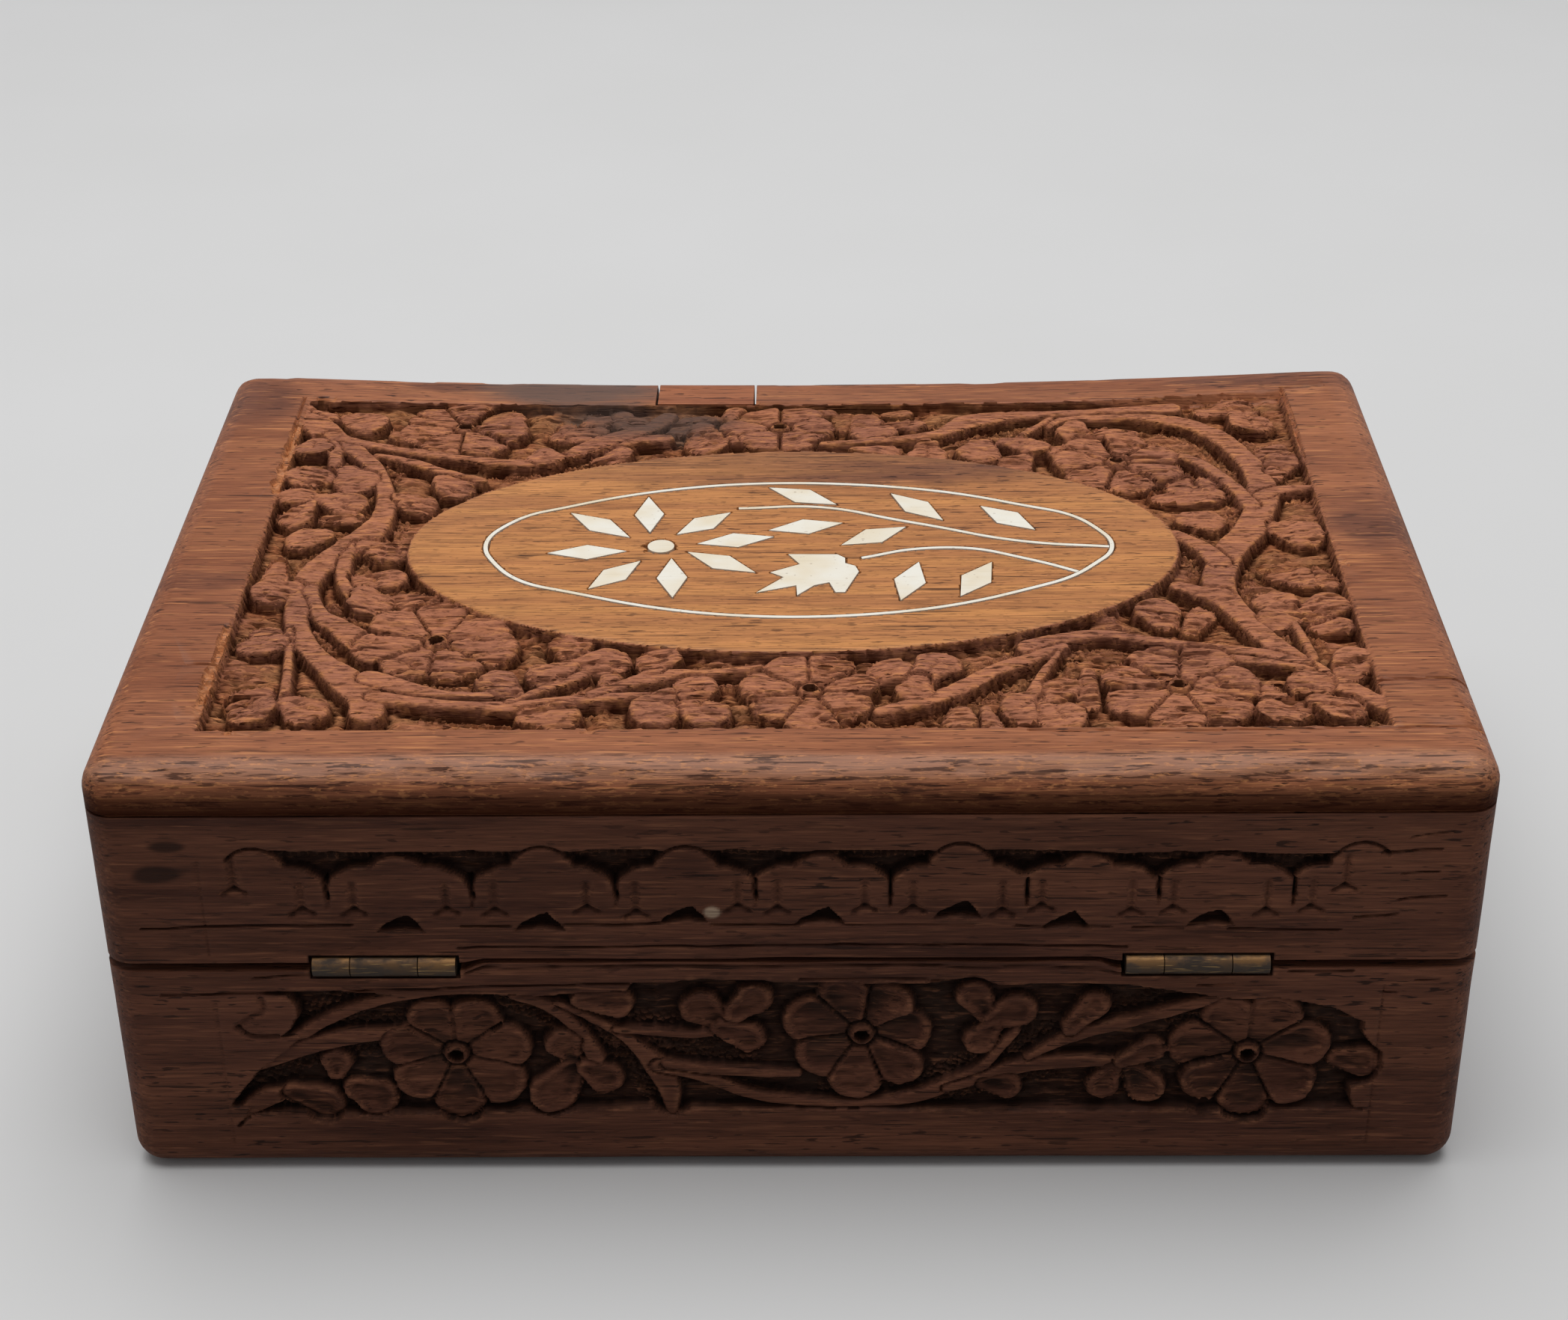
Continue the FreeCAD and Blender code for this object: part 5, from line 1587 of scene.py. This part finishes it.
# %% [markdown]
# ## Bone, brass and felt
# The inlay is bone or a plastic like it: off-white, a little yellower in places, with fine marks. The
# hinges are brass gone dull, brown where it is tarnished and golden where it was rubbed, with a painted
# shade on their underside. The felt is deep red with a soft sheen.

# %% Other finishes
# Heights below which the hinges get a painted shade on their underside.
BRASS_SHADE = 29.9, 28.9


def bone():
    """Off-white with faint yellow clouds, fine streaks and a few dark specks."""
    finish = Finish("bone_inlay_pale", Specular_IOR_Level=0.5)
    lines = finish.noise((6, 0.35, 0.35))
    specks = finish.step(finish.noise((0.7, 0.5, 0.5), 1.0), 0.7, 0.78)
    clouds = finish.step(finish.noise((9, 7, 7), 3.0), 0.35, 0.7)
    finish.tone = finish.mix(clouds, (233, 229, 217), (225, 211, 184))
    finish.cover((finish.step(lines, 0.56, 0.75) * 0.35, (200, 188, 166)), (specks * 0.5, (140, 116, 92)))
    finish.feed("Base Color", finish.tone)
    finish.feed("Roughness", 0.32 + 0.2 * lines)
    finish.bump(lines - specks, 0.25, 0.0001)
    return finish.material


def brass(name, rubbed_and_sheen, dull):
    """Metal that is golden where rubbed, brown and rougher where tarnished, with a painted shade on its
    underside.
    """
    finish = Finish(name)
    tarnish = finish.step(finish.noise((2.6, 1.6, 1.6), 4.0, 0.6), 0.38, 0.64)
    scratches = finish.noise((3, 0.16, 0.16))
    finish.tone = finish.mix(tarnish, rubbed_and_sheen, dull)
    finish.cover((finish.step(finish.height(), *BRASS_SHADE) * 0.8, (60, 52, 46)),
                 (finish.step(scratches, 0.6, 0.7) * 0.3, (206, 166, 104)))
    finish.feed("Base Color", finish.tone)
    finish.feed("Metallic", 1 - 0.3 * tarnish)
    finish.feed("Roughness", 0.38 + 0.24 * tarnish + 0.1 * scratches)
    finish.bump(scratches + tarnish * 0.5, 0.2, 0.00008)
    return finish.material


def red_felt():
    """Short fibres pressed every way: fine noise for colour and height, with sheen on the shader."""
    finish = Finish("felt_deep_red", Specular_IOR_Level=0.15, Sheen_Weight=0.06, Sheen_Roughness=0.5)
    fuzz = finish.noise((0.35, 0.35, 0.35), 4.0, 0.7)
    worn = finish.noise((11, 11, 11), 3.0)
    finish.tone = finish.mix(finish.step(fuzz, 0.3, 0.7), (84, 18, 22), (120, 32, 34))
    finish.cover((finish.step(worn, 0.52, 0.75) * 0.2, (132, 60, 54)))
    finish.feed("Base Color", finish.tone)
    finish.feed("Roughness", 0.85 + 0.12 * fuzz)
    finish.bump(fuzz, 0.6, 0.0003)
    return finish.material


FINISHES["bone_inlay"] = bone()
FINISHES["aged_brass"] = brass("aged_brass_hinge", (110, 82, 54), (66, 55, 47))
FINISHES["middle_knuckle"] = brass("aged_brass_middle", (92, 70, 50), (60, 50, 43))
FINISHES["felt_lining"] = red_felt()
print(len(FINISHES), "finishes made")


# %% Paint the pieces and the nodes that stay
def finish_of(node):
    """The finish of a CAD node that stays in view, told from its name."""
    if node.startswith("inlay_"):
        return "bone_inlay"
    if node.endswith("hinge_lid_leaf"):
        return "middle_knuckle"
    if "hinge" in node:
        return "aged_brass"
    return "plain_wood" if node == "bottom_board" else None


def paint(thing, finish):
    """Puts one finish in every slot of an object."""
    if not thing.material_slots:
        thing.data.materials.append(None)
    for slot in thing.material_slots:
        slot.material = FINISHES[finish]


painted = 0
for piece in bpy.data.objects:
    slot = piece.get("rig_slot")
    if slot:
        short = slot == "wall_wood" and piece.name.endswith(("_left", "_right"))
        paint(piece, "short_wall_wood" if short else slot)
        painted += 1
for title, node in frame["nodes"].items():
    if finish_of(title):
        paint(node, finish_of(title))
        painted += 1
print("painted", painted, "pieces and nodes")

# %% [markdown]
# ## Floor, light and camera
# A pale floor fills the view. One large soft lamp hangs over the box, so the lid is bright and the back
# wall, which faces the camera, lies in half shade. The lamp's light fades far out, so there the floor is
# given a pale glow of its own, and the sky is paler to the eye than as a light: both act only on what the
# camera sees, not on the box. The camera stands where the photograph was taken.

# %% Floor
FLOOR_HALF = 2500
LAMP_HEIGHT = 0.9
FILL_LEVEL, FILL_BELOW = 0.45, 0.62
PAPER, PAPER_LIGHT, PAPER_AS_LIGHT = (212, 212, 211), (217, 217, 217), (160, 160, 160)
floor_mesh = bpy.data.meshes.new("floor")
floor_corners = np.array([[-1, -1, 0], [1, -1, 0], [1, 1, 0], [-1, 1, 0]]) * FLOOR_HALF * MM
floor_mesh.from_pydata(floor_corners, [], [[0, 1, 2, 3]])
floor = bpy.data.objects.new("floor", floor_mesh)
bpy.context.scene.collection.objects.link(floor)
pale = Finish("floor_pale", Specular_IOR_Level=0.2, Emission_Strength=1.0)
grain_of_paper = pale.noise((60, 60, 60), 3.0)
seen = pale.seen()
pale.feed("Base Color", pale.mix(seen, PAPER_AS_LIGHT, pale.mix(grain_of_paper, PAPER, PAPER_LIGHT)))
gap_squared = pale.vector("DOT_PRODUCT", pale.place(), pale.place(), output=1)
lamp_share = 1 / (1 + gap_squared / LAMP_HEIGHT ** 2) ** 2
far_fill = FILL_LEVEL * pale.larger(FILL_BELOW - lamp_share, 0.0)
pale.feed("Emission Color", pale.mix(seen * far_fill, (0, 0, 0), (255, 255, 255)))
pale.feed("Roughness", 0.75 + 0.1 * grain_of_paper)
floor.data.materials.append(pale.material)
print("floor", 2 * FLOOR_HALF, "mm wide")


# %% Light
class Sky(Finish):
    """The world round the scene, with the same ways to add nodes."""

    def __init__(self, name):
        self.world = bpy.data.worlds.new(name)
        self.world.use_nodes = True
        self.tree = self.world.node_tree
        self.shader = self.tree.nodes["Background"]


SKY_LIGHT, SKY_PALER = 0.3, 0.55
LAMP_SIZE, LAMP_ENERGY = (0.9, 0.85), 8.0
sky = Sky("studio")
sky.shader.inputs["Color"].default_value = colour(228, 228, 230)
sky.feed("Strength", SKY_LIGHT + SKY_PALER * sky.seen())
bpy.context.scene.world = sky.world
lamp_data = bpy.data.lights.new("soft_lamp", "AREA")
lamp_data.shape = "RECTANGLE"
lamp_data.size, lamp_data.size_y = LAMP_SIZE
lamp_data.energy = LAMP_ENERGY
lamp = bpy.data.objects.new("soft_lamp", lamp_data)
bpy.context.scene.collection.objects.link(lamp)
lamp.location = (0.03, -0.11, LAMP_HEIGHT)
lamp.rotation_euler = (Vector((0, -0.1, 0)) - lamp.location).to_track_quat("-Z", "Y").to_euler()
bpy.context.scene.view_settings.view_transform = "Standard"
print("lamp", LAMP_HEIGHT, "m above the floor")

# %% Camera
CAMERA_PLACE = np.array([-3.054, 305.833, 218.199])
CAMERA_YAW, CAMERA_PITCH, CAMERA_ROLL = -0.01326, 0.53222, -0.01123
FOCAL_PIXELS, IMAGE_WIDTH, SENSOR = 3827.1, 2095, 36.0


def camera_axes(yaw, pitch, roll):
    """Right, up and back of a camera that looks to the front of the box, turned, tilted down, rolled."""
    ahead = np.array([-math.sin(yaw), -math.cos(yaw), 0])
    right = np.array([-math.cos(yaw), math.sin(yaw), 0])
    up = ahead * math.sin(pitch) + np.array([0, 0, math.cos(pitch)])
    back = -ahead * math.cos(pitch) + np.array([0, 0, math.sin(pitch)])
    return right * math.cos(roll) + up * math.sin(roll), up * math.cos(roll) - right * math.sin(roll), back


camera_data = bpy.data.cameras.new("camera")
camera_data.sensor_width = SENSOR
camera_data.lens = FOCAL_PIXELS / IMAGE_WIDTH * SENSOR
camera_data.clip_start = 0.01
camera = bpy.data.objects.new("camera", camera_data)
bpy.context.scene.collection.objects.link(camera)
turn = np.eye(4)
turn[:3, :3] = np.stack(camera_axes(CAMERA_YAW, CAMERA_PITCH, CAMERA_ROLL), axis=1)
turn[:3, 3] = CAMERA_PLACE * MM
camera.matrix_world = Matrix(turn.tolist())
bpy.context.scene.camera = camera
print("camera lens", round(camera_data.lens, 2), "mm")
